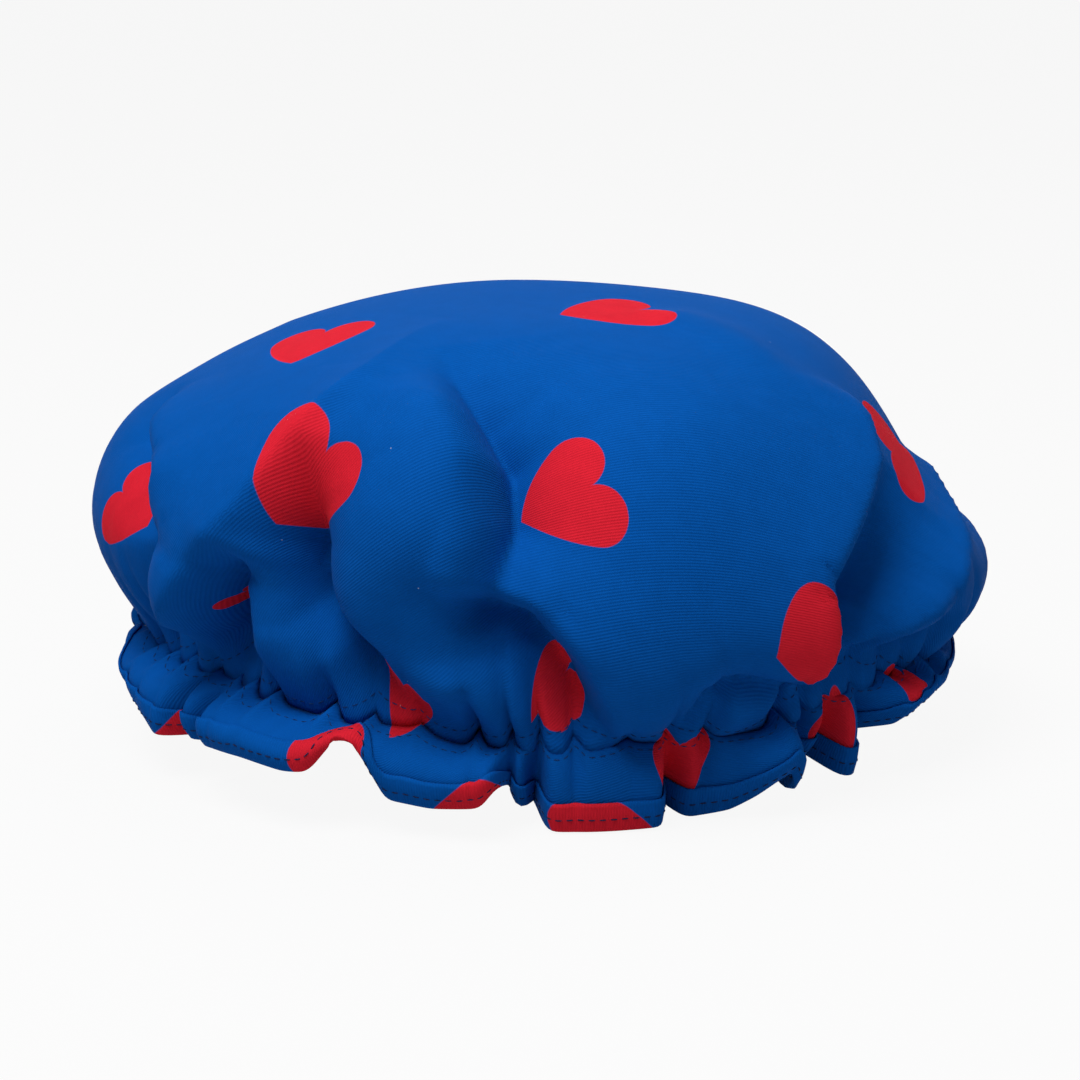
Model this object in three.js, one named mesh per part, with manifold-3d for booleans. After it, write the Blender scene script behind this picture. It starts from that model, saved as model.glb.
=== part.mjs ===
// Frilled bouffant shower cap, standing on its bound hem.
// Millimetres, +Z up. The front of the cap faces -Y, and azimuths run from the front towards +X.
// One cut disc of cloth, with a waterproof lining behind it, is gathered by an elastic loop in a
// sewn-in tape tunnel. Above that gather line it puffs out as the crown, below it stands out as
// the frill, whose raw edge is wrapped in a binding.

import * as THREE from "three";
import Module from "manifold-3d";

// Driving dimensions: the crown
const OPENING_WIDTH = 250; // across the gather line, left to right
const OPENING_DEPTH = 214; // across the gather line, front to back
const GATHER_RISE = 10; // the gather line lies this much higher at the sides
const GATHER_TURN = 8; // degrees: where the gather line is lowest
const CROWN_WIDTH = 285; // at the widest level, folds left out
const CROWN_DEPTH = 255;
const CROWN_HEIGHT = 116.5; // gather line to top
const CROWN_LEAN = 9.5; // the top of the crown sags this far to the left
const CLOTH_RADIUS = 218; // top to gather line, along the cloth

// Driving dimensions: the frill and its binding
const FRILL_LENGTH = 28; // gather line to the bound edge, along the cloth
const FRILL_FLARE = 9; // degrees from upright, mean of crests and valleys
const FLARE_SWING = 12; // degrees more on the crests of the front left, and less opposite
const FLARE_TURN = -50; // degrees: azimuth of the widest flare
const RUFFLE_DEPTH = 0.2; // radial swing of a ruffle either way, as a share of its pitch
const BINDING_WIDTH = 9;
const STANDING_FLAT = 0.5; // depth of the flats that the hem stands on

// Driving dimensions: cloth, elastic and thread
const CLOTH_THICKNESS = 0.5;
const LINING_THICKNESS = 0.3;
const BINDING_THICKNESS = 0.4;
const TAPE_THICKNESS = 0.4;
const TAPE_SEAM = 2.5; // tape width outside the elastic, on each side
const ELASTIC_WIDTH = 5;
const ELASTIC_THICKNESS = 1;
const ELASTIC_LAP = 22; // the loop's ends overlap by this much
const THREAD_DIAMETER = 0.6;
const SPLICE_STITCHES = 9;
const LAYER_GAP = 0.4; // clearance between two layers that lie on each other
const CORNER_MITRE = 0.6; // rise per depth where the crown's layers turn out above the tape

// Facets
const FULL_TURN = 360;
const FRONT_SPAN = 200; // degrees of the crown that the front columns cover
const FRONT_COLUMNS = 36;
const BACK_COLUMNS = 24;
const ELASTIC_COLUMNS = 72;
const COLUMNS_PER_RUFFLE = 6;
const THREAD_SIDES = 4;

// Outlines of the crown without its folds, from the belly to the top. Each pair is the reach from the
// middle, as a share of the crown's half width or half depth, and the height, as a share of its height.
const FRONT_OUTLINE = [
  [0.89, 0.07], [0.95, 0.15], [0.99, 0.29], [1, 0.455], [0.965, 0.64],
  [0.86, 0.81], [0.685, 0.925], [0.48, 0.97], [0.24, 0.99],
];
const BACK_OUTLINE = [
  [0.9, 0.07], [0.96, 0.14], [1, 0.265], [1, 0.42], [0.92, 0.575],
  [0.79, 0.71], [0.63, 0.825], [0.455, 0.915], [0.22, 0.98],
];
const LEFT_OUTLINE = [
  [0.935, 0.08], [0.975, 0.165], [1, 0.315], [0.985, 0.48], [0.9, 0.64],
  [0.765, 0.76], [0.6, 0.85], [0.425, 0.93], [0.205, 0.985],
];
const RIGHT_OUTLINE = [
  [0.95, 0.08], [1, 0.16], [1, 0.295], [0.915, 0.43], [0.835, 0.585],
  [0.74, 0.76], [0.605, 0.895], [0.43, 0.96], [0.21, 0.99],
];
// How far down the cloth these rings lie, as shares of the way from the top to the gather line.
const RING_SHARES = [0.96, 0.9, 0.82, 0.73, 0.63, 0.52, 0.4, 0.28, 0.14];

// Main folds of the crown as it is photographed, left to right. Each runs along a line of [azimuth in
// degrees, share down the cloth]. It stands out (or in, if negative) by `lift`, fading over `half`
// millimetres to either side.
const FRONT_FOLDS = [
  { lift: -9, half: 12, line: [[-78, 0.64], [-65, 0.68], [-58, 0.77], [-59, 0.93]] },
  { lift: 6, half: 14, line: [[-33, 0.41], [-38, 0.65], [-50, 0.82]] },
  { lift: -11, half: 12, line: [[-42, 0.775], [-46, 0.94]] },
  { lift: -9, half: 12, line: [[-31.5, 0.64], [-31, 0.82], [-27, 0.93]] },
  { lift: 8, half: 18, line: [[-17, 0.47], [-21, 0.77], [-20, 0.91]] },
  { lift: -10, half: 16, line: [[-12, 0.42], [-3, 0.54], [-3, 0.74]] },
  { lift: -9, half: 12, line: [[-7, 0.77], [0, 0.82], [5, 0.94]] },
  { lift: 5, half: 14, line: [[-8, 0.88], [-3, 0.945]] },
  { lift: 6, half: 14, line: [[2, 0.75], [8, 0.84], [11, 0.95]] },
  { lift: 3, half: 34, line: [[22, 0.55], [15, 0.7], [13.5, 0.89]] },
  { lift: -6, half: 10, line: [[24, 0.905], [32, 0.935]] },
  { lift: 6, half: 15, line: [[68, 0.65], [44, 0.775], [35, 0.93]] },
  { lift: -6, half: 15, line: [[72, 0.75], [52, 0.84], [43, 0.95]] },
];

// The side that the photograph hides is gathered alike, in evenly spread valleys.
const BACK_FOLDS = 6;
const BACK_FOLD_LIFT = -9;
const BACK_FOLD_HALF = 13;
const BACK_FOLD_SPAN = [0.5, 0.93];
const FOLD_REACH = 0.09; // share of an outline, either way, over which a fold's direction is taken

// Azimuths of the frill's outward crests in the photograph. The rest follow at a steady pitch.
const FRONT_CRESTS = [-93, -70, -38, -14, 8, 28, 46, 66, 90];
const BACK_CRESTS = 8;

// The gather line and the layers behind it, as depths inwards from the middle of the cloth
const liningDepth = CLOTH_THICKNESS / 2 + LAYER_GAP + LINING_THICKNESS / 2;
const elasticOuter = liningDepth + LINING_THICKNESS / 2 + LAYER_GAP;
const lapShift = ELASTIC_THICKNESS + LAYER_GAP;
const spliceDepth = elasticOuter + lapShift + ELASTIC_THICKNESS + LAYER_GAP + THREAD_DIAMETER / 2;
const tapeCrest = spliceDepth + THREAD_DIAMETER / 2 + LAYER_GAP;
const tunnelHalf = ELASTIC_WIDTH / 2 + LAYER_GAP;
const tapeHalf = tunnelHalf + TAPE_SEAM;
const stitchRowHeight = tunnelHalf + TAPE_SEAM / 2;
const openingHalf = new THREE.Vector2(OPENING_WIDTH / 2, OPENING_DEPTH / 2);
const crownHalf = new THREE.Vector2(CROWN_WIDTH / 2, CROWN_DEPTH / 2);

const smooth = (from, to, x) => THREE.MathUtils.smoothstep(x, from, to);
const turn = (degrees) =>
  THREE.MathUtils.euclideanModulo(degrees + FULL_TURN / 2, FULL_TURN) - FULL_TURN / 2;

// A closed mesh from vertices and the corners of its triangles.
function meshGeometry(points, triangles) {
  const geometry = new THREE.BufferGeometry().setFromPoints(points);
  geometry.setIndex(triangles);
  geometry.computeVertexNormals();
  return geometry;
}

// Triangles between two neighbouring closed rows of `count` points that start at vertices `a` and `b`.
function band(a, b, count) {
  const triangles = [];
  for (let i = 0; i < count; i++) {
    const j = (i + 1) % count;
    triangles.push(a + i, b + i, b + j, a + i, b + j, a + j);
  }
  return triangles;
}

// A closed section carried round a path. Each section is a list of points, counter-clockwise as seen
// looking along the path. A path that doesn't close on itself gets flat ends. Every facet is split from
// its higher corner on the first section, so that the two faces of a thin wall bend alike.
function sweep(sections, closed) {
  const count = sections[0].length;
  const triangles = [];
  sections.slice(0, closed ? undefined : -1).forEach((section, k) => {
    const here = k * count;
    const there = ((k + 1) % sections.length) * count;
    section.forEach((point, i) => {
      const j = (i + 1) % count;
      if (point.z > section[j].z) {
        triangles.push(here + i, there + i, there + j, here + i, there + j, here + j);
      } else {
        triangles.push(here + i, there + i, here + j, there + i, there + j, here + j);
      }
    });
  });
  if (!closed) {
    const last = (sections.length - 1) * count;
    for (let i = 1; i < count - 1; i++) {
      triangles.push(0, i, i + 1, last, last + i + 1, last + i);
    }
  }
  return meshGeometry(sections.flat(), triangles);
}

// Height of the gather line at an azimuth: none where it is lowest and opposite, most at the sides.
function gatherRise(azimuth) {
  const level = Math.cos(azimuth - THREE.MathUtils.degToRad(GATHER_TURN));
  return GATHER_RISE * (1 - level ** 4);
}

// The point of the gather line at an azimuth, `depth` inwards from the cloth and `height` above the line.
function gatherPoint(azimuth, depth, height) {
  return new THREE.Vector3(
    (openingHalf.x - depth) * Math.sin(azimuth),
    (depth - openingHalf.y) * Math.cos(azimuth),
    gatherRise(azimuth) + height,
  );
}

// Azimuths of `count` columns, evenly spread over `span` degrees.
function spread(from, span, count) {
  return Array.from({ length: count }, (_, i) => THREE.MathUtils.degToRad(from + (i / count) * span));
}
const ringAzimuths = [
  ...spread(-FRONT_SPAN / 2, FRONT_SPAN, FRONT_COLUMNS),
  ...spread(FRONT_SPAN / 2, FULL_TURN - FRONT_SPAN, BACK_COLUMNS),
];
const ringCount = ringAzimuths.length;

// A hoop at the gather line, from its section as [depth, height] pairs.
function hoop(section) {
  return sweep(
    ringAzimuths.map((azimuth) => section.map(([depth, height]) => gatherPoint(azimuth, depth, height))),
    true,
  );
}

// A round section of thread as [across, up] pairs.
function threadSection() {
  return Array.from({ length: THREAD_SIDES }, (_, i) => {
    const angle = (i / THREAD_SIDES) * 2 * Math.PI;
    return [(THREAD_DIAMETER / 2) * Math.cos(angle), (THREAD_DIAMETER / 2) * Math.sin(angle)];
  });
}

// An outline of the crown as a curve, from the tape's upper edge to the top.
function outlineCurve(outline, opening, crown) {
  const points = outline.map(([reach, height]) => new THREE.Vector2(reach * crown, height * CROWN_HEIGHT));
  const edge = new THREE.Vector2(opening, tapeHalf);
  return new THREE.SplineCurve([edge, ...points, new THREE.Vector2(0, CROWN_HEIGHT)]);
}
const frontCurve = outlineCurve(FRONT_OUTLINE, openingHalf.y, crownHalf.y);
const backCurve = outlineCurve(BACK_OUTLINE, openingHalf.y, crownHalf.y);
const leftCurve = outlineCurve(LEFT_OUTLINE, openingHalf.x, crownHalf.x);
const rightCurve = outlineCurve(RIGHT_OUTLINE, openingHalf.x, crownHalf.x);
const ringSteps = RING_SHARES.length + 1;
const ringClimbs = RING_SHARES.map((_, i) => (i + 1) / ringSteps);

// How far down the cloth a point lies, `climb` of the way along the outlines from the tape to the top.
function clothShare(climb) {
  const shares = [1, ...RING_SHARES, 0];
  const place = THREE.MathUtils.clamp(climb, 0, 1) * ringSteps;
  const below = Math.min(Math.floor(place), ringSteps - 1);
  return THREE.MathUtils.lerp(shares[below], shares[below + 1], place - below);
}

// The crown without its folds. Each level is an oval with the outlines' reach, and its height is mixed
// from theirs. Its middle leans to the left towards the top, and its lower part rises at the sides.
function smoothCrown(azimuth, climb) {
  const sine = Math.sin(azimuth);
  const cosine = Math.cos(azimuth);
  const along = (cosine > 0 ? frontCurve : backCurve).getPoint(climb);
  const side = (sine > 0 ? rightCurve : leftCurve).getPoint(climb);
  const share = clothShare(climb);
  return new THREE.Vector3(
    side.x * sine - CROWN_LEAN * (1 - share ** 2),
    -along.x * cosine,
    along.y * cosine ** 2 + side.y * sine ** 2 + gatherRise(azimuth) * share ** 4,
  );
}

// All folds of the crown, front and back.
function crownFolds() {
  const pitch = (FULL_TURN - FRONT_SPAN) / BACK_FOLDS;
  const back = Array.from({ length: BACK_FOLDS }, (_, i) => {
    const at = FRONT_SPAN / 2 + (i + 0.5) * pitch;
    return { lift: BACK_FOLD_LIFT, half: BACK_FOLD_HALF, line: BACK_FOLD_SPAN.map((share) => [at, share]) };
  });
  return [...FRONT_FOLDS, ...back];
}
const folds = crownFolds();

// Distance along the cloth from a point to a fold's line, at `radius` from the crown's middle.
function foldDistance(fold, azimuth, share, radius) {
  const flat = (degrees, down) =>
    new THREE.Vector2(THREE.MathUtils.degToRad(degrees) * radius, down * CLOTH_RADIUS);
  const start = fold.line[0][0];
  const toStart = turn(start - THREE.MathUtils.radToDeg(azimuth));
  const point = flat(0, share);
  const corners = fold.line.map(([degrees, down]) => flat(toStart + degrees - start, down));
  const distances = corners.slice(1).map((end, i) => {
    const run = end.clone().sub(corners[i]);
    const along = THREE.MathUtils.clamp(point.clone().sub(corners[i]).dot(run) / run.lengthSq(), 0, 1);
    return corners[i].clone().addScaledVector(run, along).distanceTo(point);
  });
  return Math.min(...distances);
}

// Unit normal of a surface given as a function of two parameters, out of the side where (u, v) turns
// left. It is taken over a small `step` of the parameters either way.
function surfaceNormal(surface, u, v, step = 1e-3) {
  const alongU = surface(u + step, v).sub(surface(u - step, v));
  const alongV = surface(u, v + step).sub(surface(u, v - step));
  return alongU.cross(alongV).normalize();
}

// The crown with its folds, which run out towards the gather line. They stand out along the mean normal
// of the cloth around them, so that the rounding of the belly can't fold over. Where folds meet, the
// highest ridge and the deepest valley count.
function foldedCrown(azimuth, climb) {
  const point = smoothCrown(azimuth, climb);
  const share = clothShare(climb);
  const radius = Math.max(Math.hypot(point.x + CROWN_LEAN, point.y), openingHalf.y / 2);
  const lifts = folds.map((fold) => {
    const off = foldDistance(fold, azimuth, share, radius) / fold.half;
    return fold.lift * Math.exp(-off * off);
  });
  const lift = (Math.max(...lifts, 0) + Math.min(...lifts, 0)) * (1 - smooth(0.92, 1, share));
  return point.addScaledVector(surfaceNormal(smoothCrown, azimuth, climb, FOLD_REACH), lift);
}

// A point of the crown, `depth` inwards from the middle of the cloth.
function crownPoint(azimuth, climb, depth) {
  return foldedCrown(azimuth, climb).addScaledVector(surfaceNormal(foldedCrown, azimuth, climb), -depth);
}

// A layer of the crown: a domed shell, open at the gather line, between two depths behind the cloth.
// Above the tape the layers turn outwards, and their corners are mitred there.
function crownLayer(outerDepth, innerDepth, lowerEdge) {
  const face = (depth) => {
    const climbs = ringClimbs.toReversed();
    const rows = climbs.map((climb) => ringAzimuths.map((a) => crownPoint(a, climb, depth)));
    for (const height of [tapeHalf + depth * CORNER_MITRE, lowerEdge]) {
      rows.push(ringAzimuths.map((a) => gatherPoint(a, depth, height)));
    }
    return [new THREE.Vector3(-CROWN_LEAN, 0, CROWN_HEIGHT - depth), ...rows.flat()];
  };
  const outer = face(outerDepth);
  const inner = face(innerDepth);
  const offset = outer.length;
  const rowCount = (offset - 1) / ringCount;
  const facing = [];
  for (let i = 0; i < ringCount; i++) {
    facing.push(0, 1 + i, 1 + ((i + 1) % ringCount));
  }
  for (let row = 0; row < rowCount - 1; row++) {
    const upper = 1 + row * ringCount;
    facing.push(...band(upper, upper + ringCount, ringCount));
  }
  const triangles = [...facing, ...facing.map((corner) => corner + offset).reverse()];
  const rim = 1 + (rowCount - 1) * ringCount;
  triangles.push(...band(rim, offset + rim, ringCount));
  return meshGeometry([...outer, ...inner], triangles);
}

// The frill's columns, evenly spread over each ruffle: azimuth, phase within the ruffle and its pitch.
function frillColumns() {
  const lastFront = FRONT_CRESTS[FRONT_CRESTS.length - 1];
  const backPitch = (FRONT_CRESTS[0] + FULL_TURN - lastFront) / (BACK_CRESTS + 1);
  const back = Array.from({ length: BACK_CRESTS }, (_, i) => lastFront + (i + 1) * backPitch);
  const crests = [...FRONT_CRESTS, ...back, FRONT_CRESTS[0] + FULL_TURN];
  const meanHalf = (openingHalf.x + openingHalf.y) / 2;
  const columns = [];
  for (let i = 0; i < crests.length - 1; i++) {
    const pitch = THREE.MathUtils.degToRad(crests[i + 1] - crests[i]);
    for (let k = 0; k < COLUMNS_PER_RUFFLE; k++) {
      const share = k / COLUMNS_PER_RUFFLE;
      columns.push({
        azimuth: THREE.MathUtils.degToRad(crests[i]) + share * pitch,
        phase: 2 * Math.PI * share,
        swing: RUFFLE_DEPTH * pitch * meanHalf,
      });
    }
  }
  return columns;
}
const columns = frillColumns();

// The middle of the frill's cloth, `run` down from the gather line: upright behind the tape, then
// swinging out on the crests of the ruffles and in at the valleys.
function frillPoint(column, run) {
  const free = Math.max(run - tapeHalf, 0) / (FRILL_LENGTH - tapeHalf);
  const crest = (1 + Math.cos(column.phase)) / 2;
  const aside = Math.cos(column.azimuth - THREE.MathUtils.degToRad(FLARE_TURN));
  const flare = THREE.MathUtils.degToRad(FRILL_FLARE + FLARE_SWING * aside * crest);
  const ease = free * free * (3 - free) / 2;
  const swing = column.swing * Math.cos(column.phase) * ease;
  const drop = Math.min(run, tapeHalf) + Math.max(run - tapeHalf, 0) * Math.cos(flare);
  const lift = column.swing * crest * 0.35 * ease;
  const out = Math.max(run - tapeHalf, 0) * Math.sin(flare) + swing;
  return gatherPoint(column.azimuth, -out, lift - drop);
}

// Frames of the frill at one `run`: each column's point, its normal out of the cloth and its way down.
function frillFrames(run) {
  const step = 0.05;
  const points = columns.map((column) => frillPoint(column, run));
  return points.map((point, i) => {
    const next = points[(i + 1) % points.length];
    const previous = points[(i + points.length - 1) % points.length];
    const down = frillPoint(columns[i], run + step).sub(frillPoint(columns[i], run - step)).normalize();
    const across = next.clone().sub(previous);
    return { point, down, out: down.clone().cross(across).normalize() };
  });
}

// Points beside the frill: `out` of the cloth's middle and `below` the run at which the frame was taken.
function besideFrill(frames, out, below) {
  return frames.map(({ point, out: normal, down }) =>
    point.clone().addScaledVector(normal, out).addScaledVector(down, below),
  );
}

// Turns rows of points round the frill into one section per column.
function columnSections(rows) {
  return columns.map((_, i) => rows.map((row) => row[i]));
}

const bindingTop = FRILL_LENGTH - BINDING_WIDTH;
const clothEnd = FRILL_LENGTH - BINDING_THICKNESS - LAYER_GAP;

// A layer of the frill: a ruffled strip between two offsets out of the cloth's middle.
function frillLayer(outer, inner, upperEdge) {
  const runs = [upperEdge, tapeHalf, bindingTop, clothEnd];
  const frames = runs.map(frillFrames);
  const face = (out) => frames.map((rows) => besideFrill(rows, out, 0));
  return sweep(columnSections([...face(inner), ...face(outer).reverse()]), true);
}

// Offsets of the binding's legs from the middle of the cloth, on the side that faces it.
const outerLeg = CLOTH_THICKNESS / 2 + LAYER_GAP;
const innerLeg = -(liningDepth + LINING_THICKNESS / 2 + LAYER_GAP);

// One face of the binding: its upper edge and its lower edge, `past` the end of its slot.
function bindingFace(out, past) {
  return [
    besideFrill(frillFrames(bindingTop), out, 0),
    besideFrill(frillFrames(FRILL_LENGTH - BINDING_THICKNESS), out, past),
  ];
}

// The binding: a strip folded over the raw edges of cloth and lining, one leg on either side.
function bindingGeometry() {
  return sweep(
    columnSections([
      ...bindingFace(innerLeg - BINDING_THICKNESS, BINDING_THICKNESS),
      ...bindingFace(outerLeg + BINDING_THICKNESS, BINDING_THICKNESS).reverse(),
      ...bindingFace(outerLeg, 0),
      ...bindingFace(innerLeg, 0).reverse(),
    ]),
    true,
  );
}

// The binding's row of stitches, along the middle of its outer leg. It follows the leg's facets, each
// of which is split from its upper corner to the lower corner of the next column.
function bindingThread() {
  const lift = outerLeg + BINDING_THICKNESS + LAYER_GAP + THREAD_DIAMETER / 2;
  const [upper, lower] = bindingFace(lift, 0);
  const path = upper.flatMap((point, i) => [
    point.clone().lerp(lower[i], 0.5),
    point.clone().lerp(lower[(i + 1) % lower.length], 0.5),
  ]);
  const sections = path.map((point, i) => {
    const along = path[(i + 1) % path.length].clone().sub(path[(i + path.length - 1) % path.length]);
    const out = new THREE.Vector3(0, 0, -1).cross(along).normalize();
    const up = along.cross(out).normalize().negate();
    return threadSection().map(([across, rise]) =>
      point.clone().addScaledVector(out, across).addScaledVector(up, rise),
    );
  });
  return sweep(sections, true);
}

// A row of stitches round the tunnel, on the outside of the cloth.
function casingThread(height) {
  const depth = -(CLOTH_THICKNESS / 2 + LAYER_GAP + THREAD_DIAMETER / 2);
  return hoop(threadSection().map(([across, up]) => [depth - across, height + up]));
}

// The tape that closes the tunnel: sewn flat along both edges, arched over the elastic between them.
function tapeGeometry() {
  const edge = elasticOuter;
  return hoop([
    [edge + TAPE_THICKNESS, tapeHalf],
    [tapeCrest + TAPE_THICKNESS, tunnelHalf],
    [tapeCrest + TAPE_THICKNESS, -tunnelHalf],
    [edge + TAPE_THICKNESS, -tapeHalf],
    [edge, -tapeHalf],
    [tapeCrest, -tunnelHalf],
    [tapeCrest, tunnelHalf],
    [edge, tapeHalf],
  ]);
}

// Half the angle that the elastic's lap covers at the back of the cap.
const lapHalf = ELASTIC_LAP / 2 / openingHalf.x;

// The elastic: one strip round the tunnel, whose far end steps inwards to lie on its near end.
function elasticGeometry() {
  const lead = 4 * lapHalf;
  const from = Math.PI - lapHalf;
  const to = 3 * Math.PI + lapHalf;
  const half = ELASTIC_WIDTH / 2;
  const sections = Array.from({ length: ELASTIC_COLUMNS + 1 }, (_, i) => {
    const azimuth = THREE.MathUtils.lerp(from, to, i / ELASTIC_COLUMNS);
    const depth = elasticOuter + lapShift * smooth(to - 2 * lapHalf - lead, to - 2 * lapHalf, azimuth);
    return [
      gatherPoint(azimuth, depth + ELASTIC_THICKNESS, half),
      gatherPoint(azimuth, depth + ELASTIC_THICKNESS, -half),
      gatherPoint(azimuth, depth, -half),
      gatherPoint(azimuth, depth, half),
    ];
  });
  return sweep(sections, false);
}

// The zigzag that sews the lapped ends of the elastic together.
function spliceGeometry() {
  const reach = ELASTIC_WIDTH / 2 - THREAD_DIAMETER;
  const points = Array.from({ length: SPLICE_STITCHES + 1 }, (_, i) => {
    const azimuth = Math.PI + lapHalf * THREE.MathUtils.lerp(-0.7, 0.7, i / SPLICE_STITCHES);
    return gatherPoint(azimuth, spliceDepth, i % 2 ? reach : -reach);
  });
  const path = new THREE.CatmullRomCurve3(points);
  const section = new THREE.Shape(threadSection().map(([x, y]) => new THREE.Vector2(x, y)));
  return new THREE.ExtrudeGeometry(section, { steps: SPLICE_STITCHES * 3, extrudePath: path });
}

// Lowest height of a geometry.
function lowest(geometry) {
  geometry.computeBoundingBox();
  return geometry.boundingBox.min.z;
}

// Cuts a geometry flat at a height, and keeps what is above.
async function cutFlat(geometry, height) {
  const wasm = await Module();
  wasm.setup();
  const mesh = new wasm.Mesh({
    numProp: 3,
    vertProperties: new Float32Array(geometry.attributes.position.array),
    triVerts: new Uint32Array(geometry.index.array),
  });
  const cut = new wasm.Manifold(mesh).trimByPlane([0, 0, 1], height).getMesh();
  const made = new THREE.BufferGeometry();
  made.setAttribute("position", new THREE.BufferAttribute(cut.vertProperties, 3));
  made.setIndex(new THREE.BufferAttribute(cut.triVerts, 1));
  return made;
}

const finish = (color, roughness) => new THREE.MeshStandardMaterial({ color, roughness, metalness: 0 });
const printedCloth = finish(0x0a54aa, 0.55);
const liningFilm = finish(0xc8cbd6, 0.45);
const navyThread = finish(0x101f52, 0.7);
const cottonTape = finish(0xdcdde0, 0.85);
const whiteElastic = finish(0xf0efea, 0.8);

const clothFace = CLOTH_THICKNESS / 2;
const liningOuter = liningDepth - LINING_THICKNESS / 2;
const liningInner = liningDepth + LINING_THICKNESS / 2;
const splitHalf = LAYER_GAP / 2; // crown and frill are one cloth, parted here at the gather line
const wholeBinding = bindingGeometry();
const floor = lowest(wholeBinding) + STANDING_FLAT;

const cap = new THREE.Group();
function add(name, geometry, material) {
  const mesh = new THREE.Mesh(geometry, material);
  mesh.name = name;
  cap.add(mesh);
}
add("crown_cloth", crownLayer(-clothFace, clothFace, splitHalf), printedCloth);
add("crown_lining", crownLayer(liningOuter, liningInner, splitHalf), liningFilm);
add("frill_cloth", frillLayer(clothFace, -clothFace, splitHalf), printedCloth);
add("frill_lining", frillLayer(-liningOuter, -liningInner, splitHalf), liningFilm);
add("edge_binding", await cutFlat(wholeBinding, floor), printedCloth);
add("binding_stitching", bindingThread(), navyThread);
add("elastic_band", elasticGeometry(), whiteElastic);
add("elastic_splice_stitching", spliceGeometry(), navyThread);
add("casing_tape", tapeGeometry(), cottonTape);
add("upper_casing_stitching", casingThread(stitchRowHeight), navyThread);
add("lower_casing_stitching", casingThread(-stitchRowHeight), navyThread);

// The origin is on the floor, under the middle of the cap.
const bounds = new THREE.Box3().setFromObject(cap);
const middle = bounds.getCenter(new THREE.Vector3());
cap.position.set(-middle.x, -middle.y, -floor);

export default cap;
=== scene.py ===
"""Looks of a soft bouffant shower cap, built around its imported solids.

Sizes are in millimetres and become metres where a mesh is made. Azimuth 0 is the front (-Y) and grows
towards +X. Heights start at the lowest point of the gather line. A share runs from 0 at the crown's top
to 1 at the gather line, along the cloth.
"""
import logging
import math
from dataclasses import dataclass, field
from enum import Enum
from typing import ClassVar

import bpy
import numpy as np
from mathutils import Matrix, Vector


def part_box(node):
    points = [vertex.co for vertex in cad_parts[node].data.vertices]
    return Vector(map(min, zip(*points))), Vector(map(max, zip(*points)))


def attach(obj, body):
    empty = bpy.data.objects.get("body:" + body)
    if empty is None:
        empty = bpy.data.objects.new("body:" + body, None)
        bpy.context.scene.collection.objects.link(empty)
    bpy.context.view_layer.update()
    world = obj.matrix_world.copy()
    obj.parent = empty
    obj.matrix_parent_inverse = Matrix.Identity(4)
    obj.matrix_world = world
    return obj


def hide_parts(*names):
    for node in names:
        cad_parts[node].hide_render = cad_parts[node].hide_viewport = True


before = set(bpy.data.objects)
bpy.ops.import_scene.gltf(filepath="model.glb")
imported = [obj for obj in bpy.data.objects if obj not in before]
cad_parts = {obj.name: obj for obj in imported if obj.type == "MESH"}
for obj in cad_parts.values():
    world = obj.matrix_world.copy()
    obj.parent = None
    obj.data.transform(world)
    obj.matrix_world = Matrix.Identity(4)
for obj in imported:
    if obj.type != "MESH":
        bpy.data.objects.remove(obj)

Array = np.ndarray
Material = bpy.types.Material
Piece = bpy.types.Object
Socket = bpy.types.NodeSocket

MM = 0.001
TURN = 2 * math.pi
BODY = "root"
GOLDEN_ANGLE = 2.39996
HEM_SPREAD = 1.6  # columns over which the hem of the frill is smoothed
LOG = logging.getLogger("shower_cap")


class Slot(Enum):
    """Material slots of the record."""

    CLOTH = "printed_cloth"
    BINDING = "binding_cloth"
    LINING = "lining_film"
    THREAD = "navy_thread"
    ELASTIC = "white_elastic"
    TAPE = "cotton_tape"


class FoldKind(Enum):
    """Power of distance by which a fold falls off: a soft bell or a crease with a narrow foot."""

    SOFT = 2.0
    CREASE = 1.15


@dataclass(frozen=True)
class Fold:
    """One fold of the crown, as a line on the cloth.

    Attributes:
        line: points of the fold as (azimuth in degrees, share, strength from 0 to 1).
        lift: height of the fold over the plain crown; below zero for a valley.
        half_width: distance at which the fold has fallen to a third or so.
        lean: how much steeper the fold is on the right of its line than on the left, from -1 to 1.
        kind: how the fold falls off to its sides.
    """

    line: tuple[tuple[float, float, float], ...]
    lift: float
    half_width: float
    lean: float = 0.0
    kind: FoldKind = FoldKind.SOFT


def crease(lift: float, half_width: float, lean: float, *line: tuple[float, float, float]) -> Fold:
    """Return a sharp fold."""
    return Fold(line, lift, half_width, lean, FoldKind.CREASE)


def roll(lift: float, half_width: float, lean: float, *line: tuple[float, float, float]) -> Fold:
    """Return a soft fold."""
    return Fold(line, lift, half_width, lean)


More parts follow.
